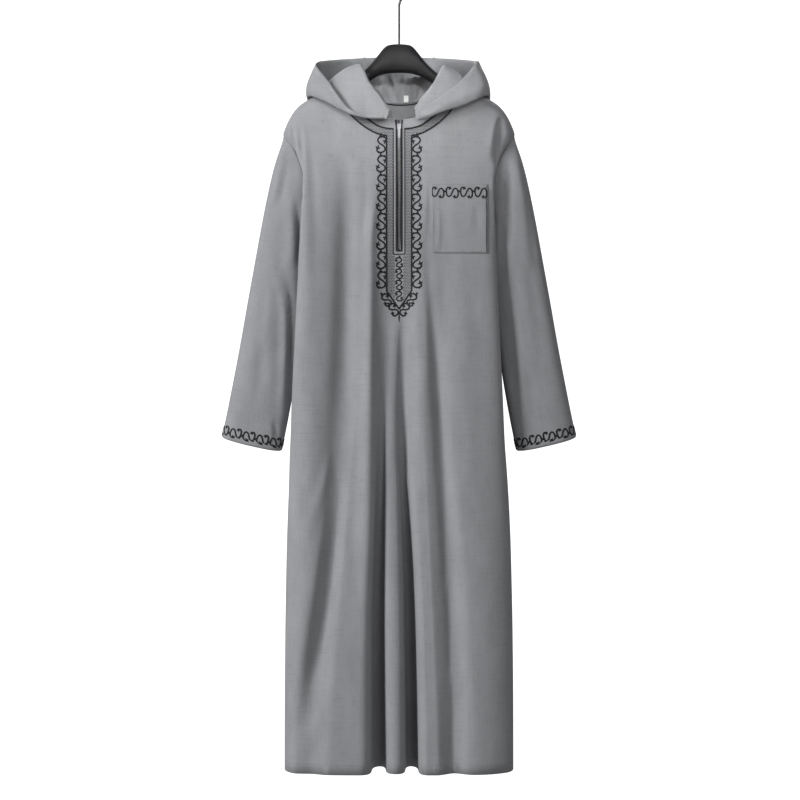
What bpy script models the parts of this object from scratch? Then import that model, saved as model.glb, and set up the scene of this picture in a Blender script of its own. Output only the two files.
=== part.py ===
"""A hooded ankle-length robe on its hanger. Metres, +Z up, front towards -Y, origin where the hook hangs."""

import math

import bmesh
import bpy
import numpy as np
from mathutils import Matrix

# Driving sizes
CLOTH = 0.0020
HOOD_CLOTH = 0.0016
SEAM_GAP = 0.0003
HEM_Z = -1.625
NECK_HALF_WIDTH = 0.085
NECK_SIDE_Z = -0.204
FRONT_NECK_DROP = 0.1026
BACK_NECK_DROP = 0.0535
FRONT_NECK_ROUNDNESS = 2.2
BACK_NECK_ROUNDNESS = 2.4
SHOULDER_X, SHOULDER_Z = 0.238, -0.327
UNDERARM_Z = -0.548
ARMHOLE_HALF_OPENING = 0.036
SHOULDER_ROLL = 0.026
COLUMN_SETTLE_TOP_Z, COLUMN_SETTLE_DROP = -0.310, 0.240
CENTRE_SETTLE_DROP = 0.300

# The zip's opening down the front
SLIT_HALF_WIDTH = 0.003
ZIP_BOTTOM_Z = -0.576

# The wedge of cloth let into each side seam
GORE_TOP_Z = -1.120
GORE_SEAM_TOP_Z = -1.110
GORE_SHARE = 0.62

# Shoulder ridge, from the neck to the shoulder point
SHOULDER_COLUMNS = ("x", "z")
SHOULDER = (
    (0.000, -0.1600),
    (0.085, -0.2040),
    (0.110, -0.2170),
    (0.150, -0.2375),
    (0.191, -0.2607),
    (0.205, -0.2720),
    (0.218, -0.2870),
    (0.228, -0.3040),
    (0.238, -0.3270),
)

# Half sections of the body from the shoulder to the hem: the width across the front fold, how far the
# side seam lies inside that, and the depth of the front and of the back
BODY_COLUMNS = ("z", "half_width", "inset", "front_depth", "back_depth", "squareness")
BODY = (
    (-0.160, 0.2380, 0.000, 0.034, 0.034, 2.6),
    (-0.230, 0.2380, 0.000, 0.036, 0.036, 2.6),
    (-0.262, 0.2380, 0.000, 0.041, 0.042, 2.6),
    (-0.306, 0.2380, 0.000, 0.049, 0.045, 2.6),
    (-0.327, 0.2380, 0.000, 0.051, 0.046, 2.6),
    (-0.362, 0.2140, 0.000, 0.053, 0.047, 3.0),
    (-0.385, 0.2045, 0.001, 0.055, 0.048, 3.4),
    (-0.415, 0.1995, 0.005, 0.057, 0.049, 4.5),
    (-0.450, 0.1985, 0.010, 0.060, 0.051, 6.5),
    (-0.500, 0.1990, 0.017, 0.062, 0.053, 9.0),
    (-0.548, 0.2005, 0.023, 0.064, 0.055, 10.0),
    (-0.600, 0.2037, 0.024, 0.066, 0.058, 10.0),
    (-0.700, 0.2085, 0.020, 0.071, 0.062, 8.0),
    (-0.876, 0.2185, 0.012, 0.080, 0.070, 6.0),
    (-1.018, 0.2250, 0.004, 0.087, 0.077, 5.0),
    (-1.200, 0.2290, 0.000, 0.095, 0.084, 5.0),
    (-1.409, 0.2325, 0.000, 0.103, 0.091, 5.0),
    (-1.625, 0.2325, 0.000, 0.108, 0.098, 5.0),
)

# Falling folds: each valley's centre across the cloth, its half width from lip to lip and its depth,
# at the chest, the waist, the knee and the hem
FOLD_START_Z, FOLD_START_DROP = -0.360, 0.200
FOLD_LEVELS = (-0.560, -0.876, -1.080, -1.322, -1.625)
FOLD_COLUMNS = ("name", "centre", "half_width", "depth")
FRONT_FOLDS = (
    (
        "left_soft",
        (-0.112, -0.125, -0.139, -0.160, -0.176),
        (0.040, 0.036, 0.034, 0.032, 0.030),
        (0.011, 0.015, 0.014, 0.013, 0.009),
    ),
    (
        "left_deep",
        (-0.034, -0.036, -0.039, -0.043, -0.041),
        (0.020, 0.017, 0.021, 0.027, 0.030),
        (0.000, 0.002, 0.032, 0.060, 0.076),
    ),
    (
        "right_deep",
        (0.030, 0.004, 0.013, 0.022, 0.026),
        (0.020, 0.013, 0.022, 0.026, 0.028),
        (0.000, 0.004, 0.036, 0.064, 0.078),
    ),
    (
        "right_soft",
        (0.086, 0.078, 0.084, 0.100, 0.111),
        (0.022, 0.026, 0.026, 0.030, 0.030),
        (0.001, 0.011, 0.015, 0.018, 0.021),
    ),
)
BACK_FOLDS = (
    (
        "left_soft",
        (-0.120, -0.128, -0.136, -0.146, -0.152),
        (0.034, 0.034, 0.034, 0.036, 0.036),
        (0.004, 0.012, 0.022, 0.034, 0.042),
    ),
    (
        "left_deep",
        (-0.034, -0.046, -0.052, -0.056, -0.058),
        (0.020, 0.022, 0.026, 0.032, 0.036),
        (0.000, 0.008, 0.026, 0.046, 0.054),
    ),
    (
        "right_deep",
        (0.032, 0.034, 0.038, 0.044, 0.048),
        (0.020, 0.020, 0.026, 0.032, 0.036),
        (0.000, 0.006, 0.022, 0.040, 0.052),
    ),
    (
        "right_soft",
        (0.092, 0.104, 0.116, 0.130, 0.140),
        (0.026, 0.030, 0.032, 0.036, 0.036),
        (0.006, 0.016, 0.026, 0.034, 0.040),
    ),
)
FRONT_HOLLOW_X, FRONT_HOLLOW_HALF_WIDTH = -0.010, 0.062
HOLLOW_COLUMNS = ("z", "depth")
FRONT_HOLLOW = (
    (-0.300, 0.0),
    (-0.480, 0.002),
    (-0.640, 0.010),
    (-0.730, 0.015),
    (-0.876, 0.019),
    (-1.080, 0.016),
    (-1.625, 0.010),
)

# Where each stretch of a panel lies across its width, and how many columns of cloth it has
PANEL_COLUMNS = ("share", "front_steps", "back_steps")
PANEL_STRETCHES = (
    (-1.00, 6, 6),
    (-0.84, 3, 3),
    (-0.70, 4, 4),
    (-0.50, 1, 1),
    (-0.49, 1, 1),
    (-0.47, 3, 3),
    (-0.30, 7, 6),
    (-0.10, 3, 2),
    (-0.02, 1, 1),
    (0.02, 3, 2),
    (0.10, 7, 6),
    (0.30, 3, 3),
    (0.47, 1, 1),
    (0.49, 1, 1),
    (0.50, 4, 4),
    (0.70, 3, 3),
    (0.84, 6, 6),
    (1.00, 0, 0),
)
FOLD_SHARES = (
    -0.84, -0.70, -0.50, -0.49, -0.47, -0.30, -0.10, -0.02, 0.02, 0.10, 0.30, 0.47, 0.49, 0.50, 0.70, 0.84,
)
NECK_COLUMN_X, NECK_FAN_DROP, NECK_COLUMN_DROP = 0.097, 0.008, 0.060
EDGE_SHARE, NECK_SHARE, SLIT_SHARE = 0.84, 0.50, 0.02
UNDERARM_ROW, ZIP_BOTTOM_ROW = 0.17026, 0.2043
ROW_SHARES = (
    0.0, 0.003, 0.008, 0.017, 0.034, 0.060, 0.088, 0.115, 0.143, UNDERARM_ROW, ZIP_BOTTOM_ROW,
    0.265, 0.335, 0.420, 0.510, 0.615, 0.740, 0.870, 1.0,
)

# Sleeve rings from the armhole to the cuff: the outer edge, the inner edge and the half depth
SLEEVE_COLUMNS = ("outer_x", "outer_z", "inner_x", "inner_z", "half_depth")
SLEEVE = (
    (0.2500, -0.3700, 0.1812, -0.5620, 0.0385),
    (0.2620, -0.4140, 0.1835, -0.5860, 0.0400),
    (0.2740, -0.4700, 0.1870, -0.6180, 0.0400),
    (0.2860, -0.5320, 0.1915, -0.6600, 0.0390),
    (0.2980, -0.6000, 0.1965, -0.7050, 0.0375),
    (0.3120, -0.6750, 0.2030, -0.7550, 0.0355),
    (0.3260, -0.7580, 0.2105, -0.8110, 0.0335),
    (0.3420, -0.8400, 0.2205, -0.8720, 0.0315),
    (0.3540, -0.9010, 0.2310, -0.9280, 0.0295),
    (0.3648, -0.9494, 0.2415, -0.9780, 0.0280),
)
SLEEVE_SQUARENESS = 2.7
SLEEVE_STEPS = 20
CUFF_SAG = 0.007
# Soft folds along a sleeve: the centre and half width in degrees round it, from its outer edge through the
# front, the depth, and the first and last ring
SLEEVE_FOLDS = (
    (58.0, 34.0, 0.0060, 1.0, 6.0),
    (128.0, 26.0, 0.0080, 2.0, 9.0),
    (236.0, 30.0, 0.0070, 1.5, 8.0),
    (300.0, 28.0, 0.0050, 3.0, 9.5),
)

# Hood profiles round the neck, from the front to the back: where the cloth rolls over, hangs, turns up
# again and ends at the face edge. Each side has its own front, and they share the back.
HOOD_COLUMNS = ("share", "roll", "inside", "fall", "outside", "edge")
HOOD_LEFT = (
    (
        0.00,
        (0.0085, -0.0590, -0.3010),
        (0.0110, -0.0650, -0.3060),
        (0.0140, -0.0690, -0.3090),
        (0.0170, -0.0740, -0.3070),
        (0.0180, -0.0745, -0.3020),
    ),
    (
        0.12,
        (0.0330, -0.0570, -0.2660),
        (0.0430, -0.0650, -0.2900),
        (0.0500, -0.0690, -0.3080),
        (0.0545, -0.0750, -0.3070),
        (0.0560, -0.0755, -0.3010),
    ),
    (
        0.25,
        (0.0600, -0.0500, -0.2300),
        (0.0760, -0.0600, -0.2690),
        (0.0905, -0.0660, -0.3000),
        (0.0960, -0.0720, -0.2990),
        (0.0990, -0.0730, -0.2900),
    ),
    (
        0.37,
        (0.0765, -0.0400, -0.1960),
        (0.0980, -0.0510, -0.2400),
        (0.1280, -0.0590, -0.2815),
        (0.1320, -0.0660, -0.2740),
        (0.1235, -0.0645, -0.2610),
    ),
    (
        0.46,
        (0.0850, -0.0260, -0.1880),
        (0.1170, -0.0360, -0.2040),
        (0.1620, -0.0530, -0.2665),
        (0.1690, -0.0580, -0.2460),
        (0.1500, -0.0480, -0.2180),
    ),
    (
        0.51,
        (0.0910, -0.0120, -0.1870),
        (0.1280, -0.0220, -0.2080),
        (0.1790, -0.0420, -0.2595),
        (0.1850, -0.0380, -0.2320),
        (0.1660, -0.0280, -0.1980),
    ),
    (
        0.55,
        (0.0950, 0.0030, -0.1870),
        (0.1380, 0.0000, -0.2120),
        (0.1900, -0.0070, -0.2540),
        (0.1900, 0.0000, -0.2210),
        (0.1730, 0.0020, -0.1830),
    ),
)
HOOD_RIGHT = (
    (
        0.00,
        (0.0190, -0.0590, -0.3020),
        (0.0190, -0.0650, -0.3060),
        (0.0200, -0.0690, -0.3110),
        (0.0220, -0.0740, -0.3090),
        (0.0230, -0.0745, -0.3030),
    ),
    (
        0.12,
        (0.0400, -0.0570, -0.2720),
        (0.0450, -0.0650, -0.2920),
        (0.0500, -0.0690, -0.3090),
        (0.0560, -0.0750, -0.3000),
        (0.0540, -0.0730, -0.2850),
    ),
    (
        0.25,
        (0.0690, -0.0490, -0.2330),
        (0.0780, -0.0590, -0.2640),
        (0.0890, -0.0660, -0.2935),
        (0.0950, -0.0710, -0.2790),
        (0.0900, -0.0660, -0.2580),
    ),
    (
        0.37,
        (0.0890, -0.0390, -0.1965),
        (0.1020, -0.0500, -0.2330),
        (0.1240, -0.0590, -0.2835),
        (0.1300, -0.0640, -0.2620),
        (0.1180, -0.0580, -0.2340),
    ),
    (
        0.46,
        (0.0930, -0.0250, -0.1900),
        (0.1210, -0.0350, -0.2080),
        (0.1600, -0.0530, -0.2670),
        (0.1670, -0.0550, -0.2390),
        (0.1420, -0.0400, -0.2080),
    ),
    (
        0.51,
        (0.0950, -0.0120, -0.1890),
        (0.1290, -0.0200, -0.2090),
        (0.1760, -0.0420, -0.2585),
        (0.1800, -0.0340, -0.2280),
        (0.1550, -0.0200, -0.1880),
    ),
    (
        0.55,
        (0.0965, 0.0030, -0.1880),
        (0.1370, 0.0000, -0.2120),
        (0.1860, -0.0060, -0.2530),
        (0.1840, 0.0020, -0.2180),
        (0.1620, 0.0080, -0.1760),
    ),
)
HOOD_BACK = (
    (
        0.61,
        (0.0940, 0.0200, -0.1880),
        (0.1290, 0.0340, -0.2220),
        (0.1830, 0.0480, -0.2650),
        (0.1910, 0.0520, -0.2320),
        (0.1660, 0.0280, -0.1720),
    ),
    (
        0.68,
        (0.0880, 0.0380, -0.1900),
        (0.1180, 0.0580, -0.2450),
        (0.1640, 0.0760, -0.3200),
        (0.1880, 0.0880, -0.2420),
        (0.1560, 0.0500, -0.1660),
    ),
    (
        0.84,
        (0.0520, 0.0560, -0.1980),
        (0.0660, 0.0740, -0.2900),
        (0.0960, 0.0880, -0.3850),
        (0.1060, 0.1260, -0.2900),
        (0.0860, 0.0900, -0.1520),
    ),
    (
        1.00,
        (0.0000, 0.0600, -0.2020),
        (0.0000, 0.0780, -0.3000),
        (0.0000, 0.0940, -0.4000),
        (0.0000, 0.1340, -0.3000),
        (0.0000, 0.1040, -0.1460),
    ),
)
HOOD_ROWS = (0, 1, 1.5, 2, 2.5, 3, 3.5, 4, 4.5, 5, 5.33, 5.67, 6, 6.5, 7)
HOOD_CROWN = 0.0035
HOOD_RISE = 0.0045
# The neckline's columns crowd at the side of the neck, and the hood's spread out over the shoulder
HOOD_SPREAD = (
    (0.0, 0.0), (0.30, 0.27), (0.3567, 0.33), (0.4133, 0.39), (0.47, 0.44), (0.49, 0.475), (0.50, 0.505),
    (0.51, 0.535), (0.53, 0.57), (0.5867, 0.61), (0.6433, 0.655), (0.70, 0.70), (1.0, 1.0),
)
HOOD_FIRST_SHARE = (0.03, 0.06)
HOOD_SEAM_COLUMN = 2
HOOD_SEAM_HALF_GAP = 0.0009

# Chest pocket on the wearer's left, which the viewer sees on the right
POCKET_LEFT_X, POCKET_RIGHT_X = 0.0665, 0.1785
POCKET_TOP_Z, POCKET_BOTTOM_Z = -0.4390, -0.5790
POCKET_CLOTH = 0.0012

# Zip tapes, slider and pull
TAPE_THICKNESS, TAPE_HALF_GAP, TAPE_OUTER_X = 0.0008, 0.0003, 0.0130
SLIDER_Z, SLIDER_WIDTH, SLIDER_HEIGHT, SLIDER_PLATE, SLIDER_EDGE = -0.3205, 0.0084, 0.0110, 0.0014, 0.0004
STEM_WIDTH, STEM_HEIGHT = 0.0036, 0.0060
PULL_WIDTH, PULL_LENGTH, PULL_THICKNESS = 0.0052, 0.0260, 0.0012
PULL_EYE_WIDTH, PULL_EYE_LENGTH, PULL_BAR = 0.0028, 0.0036, 0.0007
LOOP_WIDTH, LOOP_INNER, LOOP_OUTER, LOOP_ABOVE_MIDDLE = 0.0016, 0.0011, 0.0024, 0.0015

# Size tab at the back of the neck
TAB_LEFT_X, TAB_RIGHT_X, TAB_TOP_Z, TAB_BOTTOM_Z = 0.0100, 0.0195, -0.2400, -0.2555
TAB_THICKNESS = 0.0010

# Hanger: the top and bottom edge and the half thickness along one arm, and the hook's wire
HANGER_COLUMNS = ("x", "top", "bottom", "half_thickness")
HANGER = (
    (0.000, -0.1455, -0.2020, 0.0140),
    (0.018, -0.1455, -0.2025, 0.0145),
    (0.028, -0.1475, -0.2040, 0.0150),
    (0.040, -0.1600, -0.2070, 0.0160),
    (0.050, -0.1745, -0.2120, 0.0170),
    (0.063, -0.1895, -0.2200, 0.0175),
    (0.085, -0.2080, -0.2345, 0.0175),
    (0.120, -0.2245, -0.2520, 0.0190),
    (0.160, -0.2455, -0.2740, 0.0185),
    (0.191, -0.2640, -0.2960, 0.0160),
    (0.205, -0.2760, -0.3050, 0.0140),
    (0.213, -0.2880, -0.3060, 0.0100),
)
HANGER_STEPS = 14
HOOK_WIRE_RADIUS, HOOK_RADIUS = 0.0025, 0.0220
HOOK_SHANK = ((0.0, -0.100), (0.0, -0.062), (0.0025, -0.053))
HOOK_START_ANGLE, HOOK_TIP_ANGLE, HOOK_STEPS = -38.0, 205.0, 18

COLOURS = {
    "cloth": ((0.29, 0.29, 0.30), 0.85, 0.0),
    "hanger_plastic": ((0.012, 0.012, 0.013), 0.45, 0.0),
    "hook_metal": ((0.05, 0.05, 0.05), 0.4, 0.8),
    "zip_tape": ((0.02, 0.02, 0.02), 0.8, 0.0),
    "zip_metal": ((0.35, 0.35, 0.36), 0.35, 0.9),
    "tab": ((0.85, 0.85, 0.84), 0.7, 0.0),
}


def ease(share):
    """Turns 0 to 1 into a smooth step."""
    share = min(max(share, 0.0), 1.0)
    return share * share * (3 - 2 * share)


def between(low, high, share):
    return low + (high - low) * share


def read(columns, table, key, at, wanted):
    """The wanted column of a table, where its key column has the value given, on a smooth curve."""
    keys = [row[columns.index(key)] for row in table]
    values = [row[columns.index(wanted)] for row in table]
    if keys[0] > keys[-1]:
        keys, values = keys[::-1], values[::-1]
    return curve(keys, values, at)


def curve(keys, values, at):
    """A smooth curve through points, with no overshoot between two of them."""
    if at <= keys[0]:
        return values[0]
    if at >= keys[-1]:
        return values[-1]
    i = int(np.searchsorted(keys, at, side="right")) - 1
    slopes = []
    for k in (i, i + 1):
        if k == 0 or k == len(keys) - 1:
            j = min(k, len(keys) - 2)
            slopes.append((values[j + 1] - values[j]) / (keys[j + 1] - keys[j]))
            continue
        before = (values[k] - values[k - 1]) / (keys[k] - keys[k - 1])
        after = (values[k + 1] - values[k]) / (keys[k + 1] - keys[k])
        slopes.append(0.0 if before * after <= 0 else 2 * before * after / (before + after))
    span = keys[i + 1] - keys[i]
    t = (at - keys[i]) / span
    return (
        values[i] * (2 * t**3 - 3 * t**2 + 1)
        + slopes[0] * span * (t**3 - 2 * t**2 + t)
        + values[i + 1] * (3 * t**2 - 2 * t**3)
        + slopes[1] * span * (t**3 - t**2)
    )


def shoulder_height(x):
    return read(SHOULDER_COLUMNS, SHOULDER, "x", abs(x), "z")


def body_size(z, wanted):
    return read(BODY_COLUMNS, BODY, "z", z, wanted)


def armhole_opening(z):
    """How far the armhole's edge stands forward of the shoulder seam."""
    down = (SHOULDER_Z - z) / (SHOULDER_Z - UNDERARM_Z)
    if not 0 < down < 1:
        return 0.0
    return ARMHOLE_HALF_OPENING * math.sin(math.pi * down) ** 0.85


def signed_power(value, power):
    return math.copysign(abs(value) ** power, value)


def neck_height(x, back):
    drop = BACK_NECK_DROP if back else FRONT_NECK_DROP
    power = BACK_NECK_ROUNDNESS if back else FRONT_NECK_ROUNDNESS
    across = min(abs(x) / NECK_HALF_WIDTH, 1.0)
    return NECK_SIDE_Z - drop * (1 - across**power) ** (1 / power)


def top_edge(share, back):
    """The panel's top edge, as x and z: the neckline, then the shoulder seam."""
    side = math.copysign(1.0, share)
    across = abs(share)
    if across < NECK_SHARE:
        power = BACK_NECK_ROUNDNESS if back else FRONT_NECK_ROUNDNESS
        start = math.asin((SLIT_HALF_WIDTH / NECK_HALF_WIDTH) ** (power / 2))
        turn = between(start, math.pi / 2, max(across - SLIT_SHARE, 0) / (NECK_SHARE - SLIT_SHARE))
        x = NECK_HALF_WIDTH * math.sin(turn) ** (2 / power)
        x *= min(across / SLIT_SHARE, 1.0)
        return side * x, neck_height(x, back)
    x = between(NECK_HALF_WIDTH, SHOULDER_X, (across - NECK_SHARE) / (1 - NECK_SHARE))
    return side * x, shoulder_height(x)


def fold_at(fold, z):
    """Centre, half width and depth of one falling fold at a height."""
    levels = FOLD_LEVELS[::-1]
    return [curve(levels, fold[FOLD_COLUMNS.index(name)][::-1], z) for name in FOLD_COLUMNS[1:]]


def fold_knots(folds, z, half_width):
    """Where the stretches between the folds begin across a panel, from one side edge to the other."""
    edge = 0.93 * half_width
    knots = [-edge]
    for fold in folds:
        centre, reach, _ = fold_at(fold, z)
        knots += [centre - reach, centre + reach]
    below = ease((ZIP_BOTTOM_Z - z) / CENTRE_SETTLE_DROP)
    centre = (
        between(knots[4], between(knots[3], knots[4], 0.7), below),
        between(-SLIT_HALF_WIDTH, knots[4], below),
        between(SLIT_HALF_WIDTH, knots[5], below),
        between(knots[5], between(knots[5], knots[6], 0.3), below),
    )
    left = [between(knots[2], knots[3], share) for share in (0.2, 0.45)]
    right = [between(knots[6], knots[7], share) for share in (0.55, 0.8)]
    return knots[:3] + left + [knots[3], *centre, knots[6]] + right + knots[7:] + [edge]


def flat_x(share, z, folds, half_width):
    """x of a column of cloth before the folds move it."""
    return float(np.interp(share, FOLD_SHARES, fold_knots(folds, z, half_width)))


def fold_shift(x, z, folds):
    """How the falling folds move a point: sideways into the fold's walls, and in towards the body."""
    side, inward = 0.0, 0.0
    begun = ease((FOLD_START_Z - z) / FOLD_START_DROP)
    for fold in folds:
        centre, reach, depth = fold_at(fold, z)
        depth *= begun
        s = (x - centre) / reach
        if abs(s) < 1:
            steepness = min(1.06, 0.5 * depth / reach)
            side += reach * steepness * math.sin(2 * math.pi * s) / (2 * math.pi)
            inward += depth * (1 + math.cos(math.pi * s)) / 2
    return side, inward


def upper_x(share, z, back):
    """x of a column between its top edge and the chest: just below the neck the columns even out."""
    x, top_z = top_edge(share, back)
    even_places = (0, SLIT_HALF_WIDTH, NECK_COLUMN_X, SHOULDER_X)
    even = float(np.interp(abs(share), (0, SLIT_SHARE, NECK_SHARE, 1), even_places))
    below = max(top_z - z, 0.0)
    moved = 1 - math.exp(-below / NECK_FAN_DROP) if even > abs(x) else ease(below / NECK_COLUMN_DROP)
    return between(x, math.copysign(even, share), moved)


def body_point(share, z, back=False):
    """A point of the body's cloth: share runs from the left side seam at -1 to the right at 1."""
    folds = BACK_FOLDS if back else FRONT_FOLDS
    half_width = body_size(z, "half_width")
    depth = body_size(z, "back_depth" if back else "front_depth")
    power = body_size(z, "squareness")
    opening = armhole_opening(z)
    side = math.copysign(1.0, share)
    inner = side * min(abs(share), EDGE_SHARE)
    settled = ease((COLUMN_SETTLE_TOP_Z - z) / COLUMN_SETTLE_DROP)
    high = upper_x(inner, z, back) / SHOULDER_X
    low = flat_x(inner, z, folds, half_width) / half_width
    across = between(high, low, settled)
    fullness = (1 - min(abs(across), 1.0) ** power) ** (1 / power)
    x, inward = across * half_width, 0.0
    if abs(share) <= EDGE_SHARE:
        shift, inward = fold_shift(x, z, folds)
        x += shift
    else:
        turn = (abs(share) - EDGE_SHARE) / (1 - EDGE_SHARE)
        straight = between(abs(across), 1.0, turn)
        round_fullness = fullness * (1 - turn)
        round_across = (1 - round_fullness**power) ** (1 / power)
        wrapped = ease((SHOULDER_Z + 0.012 - z) / 0.060)
        fullness = between((1 - straight**power) ** (1 / power), round_fullness, wrapped)
        x = side * half_width * between(straight, round_across, wrapped)
    x -= side * body_size(z, "inset") * ease((0.74 - fullness) / 0.20)
    below = max(shoulder_height(x) - z, 0.0)
    roll = math.sqrt(1 - (1 - min(below / SHOULDER_ROLL, 1)) ** 2)
    if not back:
        hollow = (x - FRONT_HOLLOW_X) / FRONT_HOLLOW_HALF_WIDTH
        if abs(hollow) < 1:
            hollow_depth = read(HOLLOW_COLUMNS, FRONT_HOLLOW, "z", z, "depth")
            inward += hollow_depth * (1 + math.cos(math.pi * hollow)) / 2
    y = (opening + (depth - opening) * fullness) * roll - inward + SEAM_GAP
    return np.array((x, y if back else -y, z))


def panel_shares(back=False):
    """The columns of a panel, as shares of its width."""
    shares = []
    for stretch, following in zip(PANEL_STRETCHES, PANEL_STRETCHES[1:]):
        steps = stretch[PANEL_COLUMNS.index("back_steps" if back else "front_steps")]
        shares += [between(stretch[0], following[0], k / steps) for k in range(steps)]
    return shares + [PANEL_STRETCHES[-1][0]]


def gore_share(z):
    """Where the gore's seam crosses the panel's side at a height."""
    down = (GORE_SEAM_TOP_Z - z) / (GORE_SEAM_TOP_Z - HEM_Z)
    if down <= 0:
        return 1.0
    return 1 - (1 - EDGE_SHARE) * GORE_SHARE * down


def panel_point(share, row, back):
    """A point of the front or back panel, which ends at the gore's seam on each side."""
    top_z = top_edge(share, back)[1]
    z = between(top_z, HEM_Z, row)
    if abs(share) > EDGE_SHARE:
        turn = (abs(share) - EDGE_SHARE) / (1 - EDGE_SHARE)
        share = math.copysign(between(EDGE_SHARE, gore_share(z) - gore_gap(z), turn), share)
    return body_point(share, z, back)


def gore_gap(z):
    return 0.0008 if z < GORE_SEAM_TOP_Z else 0.0


def gore_point(round_share, down):
    """A point of the left gore: round_share runs from its front seam to its back seam."""
    z = between(GORE_TOP_Z, HEM_Z, down)
    seam = gore_share(z) + 2 * gore_gap(z)
    back = round_share > 0
    share = between(1.0, seam, abs(round_share))
    point = body_point(-share, z, back)
    if round_share == 0:
        point[1] = 0.0
    return point


def link(name, mesh, material):
    obj = bpy.data.objects.new(name, mesh)
    PARTS.objects.link(obj)
    mesh.materials.append(material)
    return obj


def material_of(slot):
    if slot in bpy.data.materials:
        return bpy.data.materials[slot]
    colour, roughness, metallic = COLOURS[slot]
    material = bpy.data.materials.new(slot)
    material.use_nodes = True
    shader = material.node_tree.nodes["Principled BSDF"]
    shader.inputs["Base Color"].default_value = (*colour, 1)
    shader.inputs["Roughness"].default_value = roughness
    shader.inputs["Metallic"].default_value = metallic
    return material


def cloth_form(columns, rows, place, closed=False):
    """The middle surface of a piece of cloth: a grid whose points place() puts on the form."""
    across, down = len(columns) - 1, len(rows) - 1
    form = bmesh.new()
    bmesh.ops.create_grid(form, x_segments=across, y_segments=down, size=0.5)
    for vert in form.verts:
        i = round((vert.co.x + 0.5) * across)
        j = round((0.5 - vert.co.y) * down)
        vert.co = place(columns[i], rows[j])
    if closed:
        bmesh.ops.remove_doubles(form, verts=form.verts, dist=1e-6)
    bmesh.ops.triangulate(form, faces=form.faces, quad_method="SHORT_EDGE")
    form.normal_update()
    return form


def clip(form, axis, at, keep_above):
    """Cuts the form across one axis and keeps one side."""
    place, normal = [0.0, 0.0, 0.0], [0.0, 0.0, 0.0]
    place[axis], normal[axis] = at, 1.0 if keep_above else -1.0
    bmesh.ops.bisect_plane(
        form,
        geom=form.verts[:] + form.edges[:] + form.faces[:],
        dist=1e-7,
        plane_co=place,
        plane_no=normal,
        clear_inner=True,
    )


def wall(name, form, slot, thickness, out=0.0, seam_y=None):
    """Thickens a form into a closed wall whose middle lies a distance outside it.

    Where seam_y says that a vertex is on a front-to-back seam, its rim stands square to that seam."""
    form.normal_update()
    form.verts.ensure_lookup_table()
    solid = bmesh.new()
    inner, outer = {}, {}
    for vert in form.verts:
        normal = vert.normal.copy()
        if seam_y is not None and vert.is_boundary and seam_y(vert.co):
            normal.y = 0.0
            normal.normalize()
        outer[vert] = solid.verts.new(vert.co + normal * (out + thickness / 2))
        inner[vert] = solid.verts.new(vert.co + normal * (out - thickness / 2))
    for face in form.faces:
        solid.faces.new([outer[v] for v in face.verts])
        solid.faces.new([inner[v] for v in reversed(face.verts)])
        for loop in face.loops:
            if loop.edge.is_boundary:
                one, two = loop.vert, loop.link_loop_next.vert
                solid.faces.new((outer[two], outer[one], inner[one], inner[two]))
    mesh = bpy.data.meshes.new(name)
    solid.to_mesh(mesh)
    solid.free()
    mesh.shade_smooth()
    return link(name, mesh, material_of(slot))


def mirrored(place):
    def other(column, row):
        point = np.array(place(column, row))
        point[0] = -point[0]
        return point

    return other


def on_body_seam(point):
    """True along the shoulder seams and side seams, where front and back meet."""
    return abs(point.y) < 0.0012


def front_form():
    return cloth_form(panel_shares(), ROW_SHARES, lambda c, r: panel_point(c, r, False))


def body_panels():
    form = front_form()
    opening = [
        face for face in form.faces
        if max(abs(v.co.x) for v in face.verts) < SLIT_HALF_WIDTH + 0.0005
        and face.calc_center_median().z > ZIP_BOTTOM_Z
    ]
    bmesh.ops.delete(form, geom=opening, context="FACES")
    wall("front", form, "cloth", CLOTH, seam_y=on_body_seam)
    form.free()
    form = cloth_form(panel_shares(back=True)[::-1], ROW_SHARES, lambda c, r: panel_point(c, r, True))
    wall("back", form, "cloth", CLOTH, seam_y=on_body_seam)
    form.free()
    round_shares = [k / 4 for k in range(-4, 5)]
    downs = [0.0, 0.12, 0.28, 0.5, 0.75, 1.0]
    for name, shares, place in (
        ("gore_left", round_shares, gore_point),
        ("gore_right", round_shares[::-1], mirrored(gore_point)),
    ):
        form = cloth_form(shares, downs, place)
        wall(name, form, "cloth", CLOTH)
        form.free()


def armhole_line():
    """The panels' own points along the right armhole, from the shoulder through the front and back to it."""
    rows = [row for row in ROW_SHARES if row <= UNDERARM_ROW + 1e-9]
    front = [panel_point(1.0, row, False) for row in rows]
    back = [panel_point(1.0, row, True) for row in rows]
    for end in (front[0], front[-1], back[0], back[-1]):
        end[1] = 0.0
    line = front + back[-2::-1]
    lengths = [0.0]
    for one, two in zip(line, line[1:]):
        lengths.append(lengths[-1] + float(np.linalg.norm(two - one)))
    return line, lengths


def armhole_point(turn, line, lengths):
    """A point of the armhole's edge, with turn from 0 at the shoulder to 0.5 at the underarm and on to 1."""
    half = lengths[len(lengths) // 2]
    at = turn * 2 * half if turn <= 0.5 else half + (turn - 0.5) * 2 * (lengths[-1] - half)
    return np.array([float(np.interp(at, lengths, [point[axis] for point in line])) for axis in range(3)])


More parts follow.
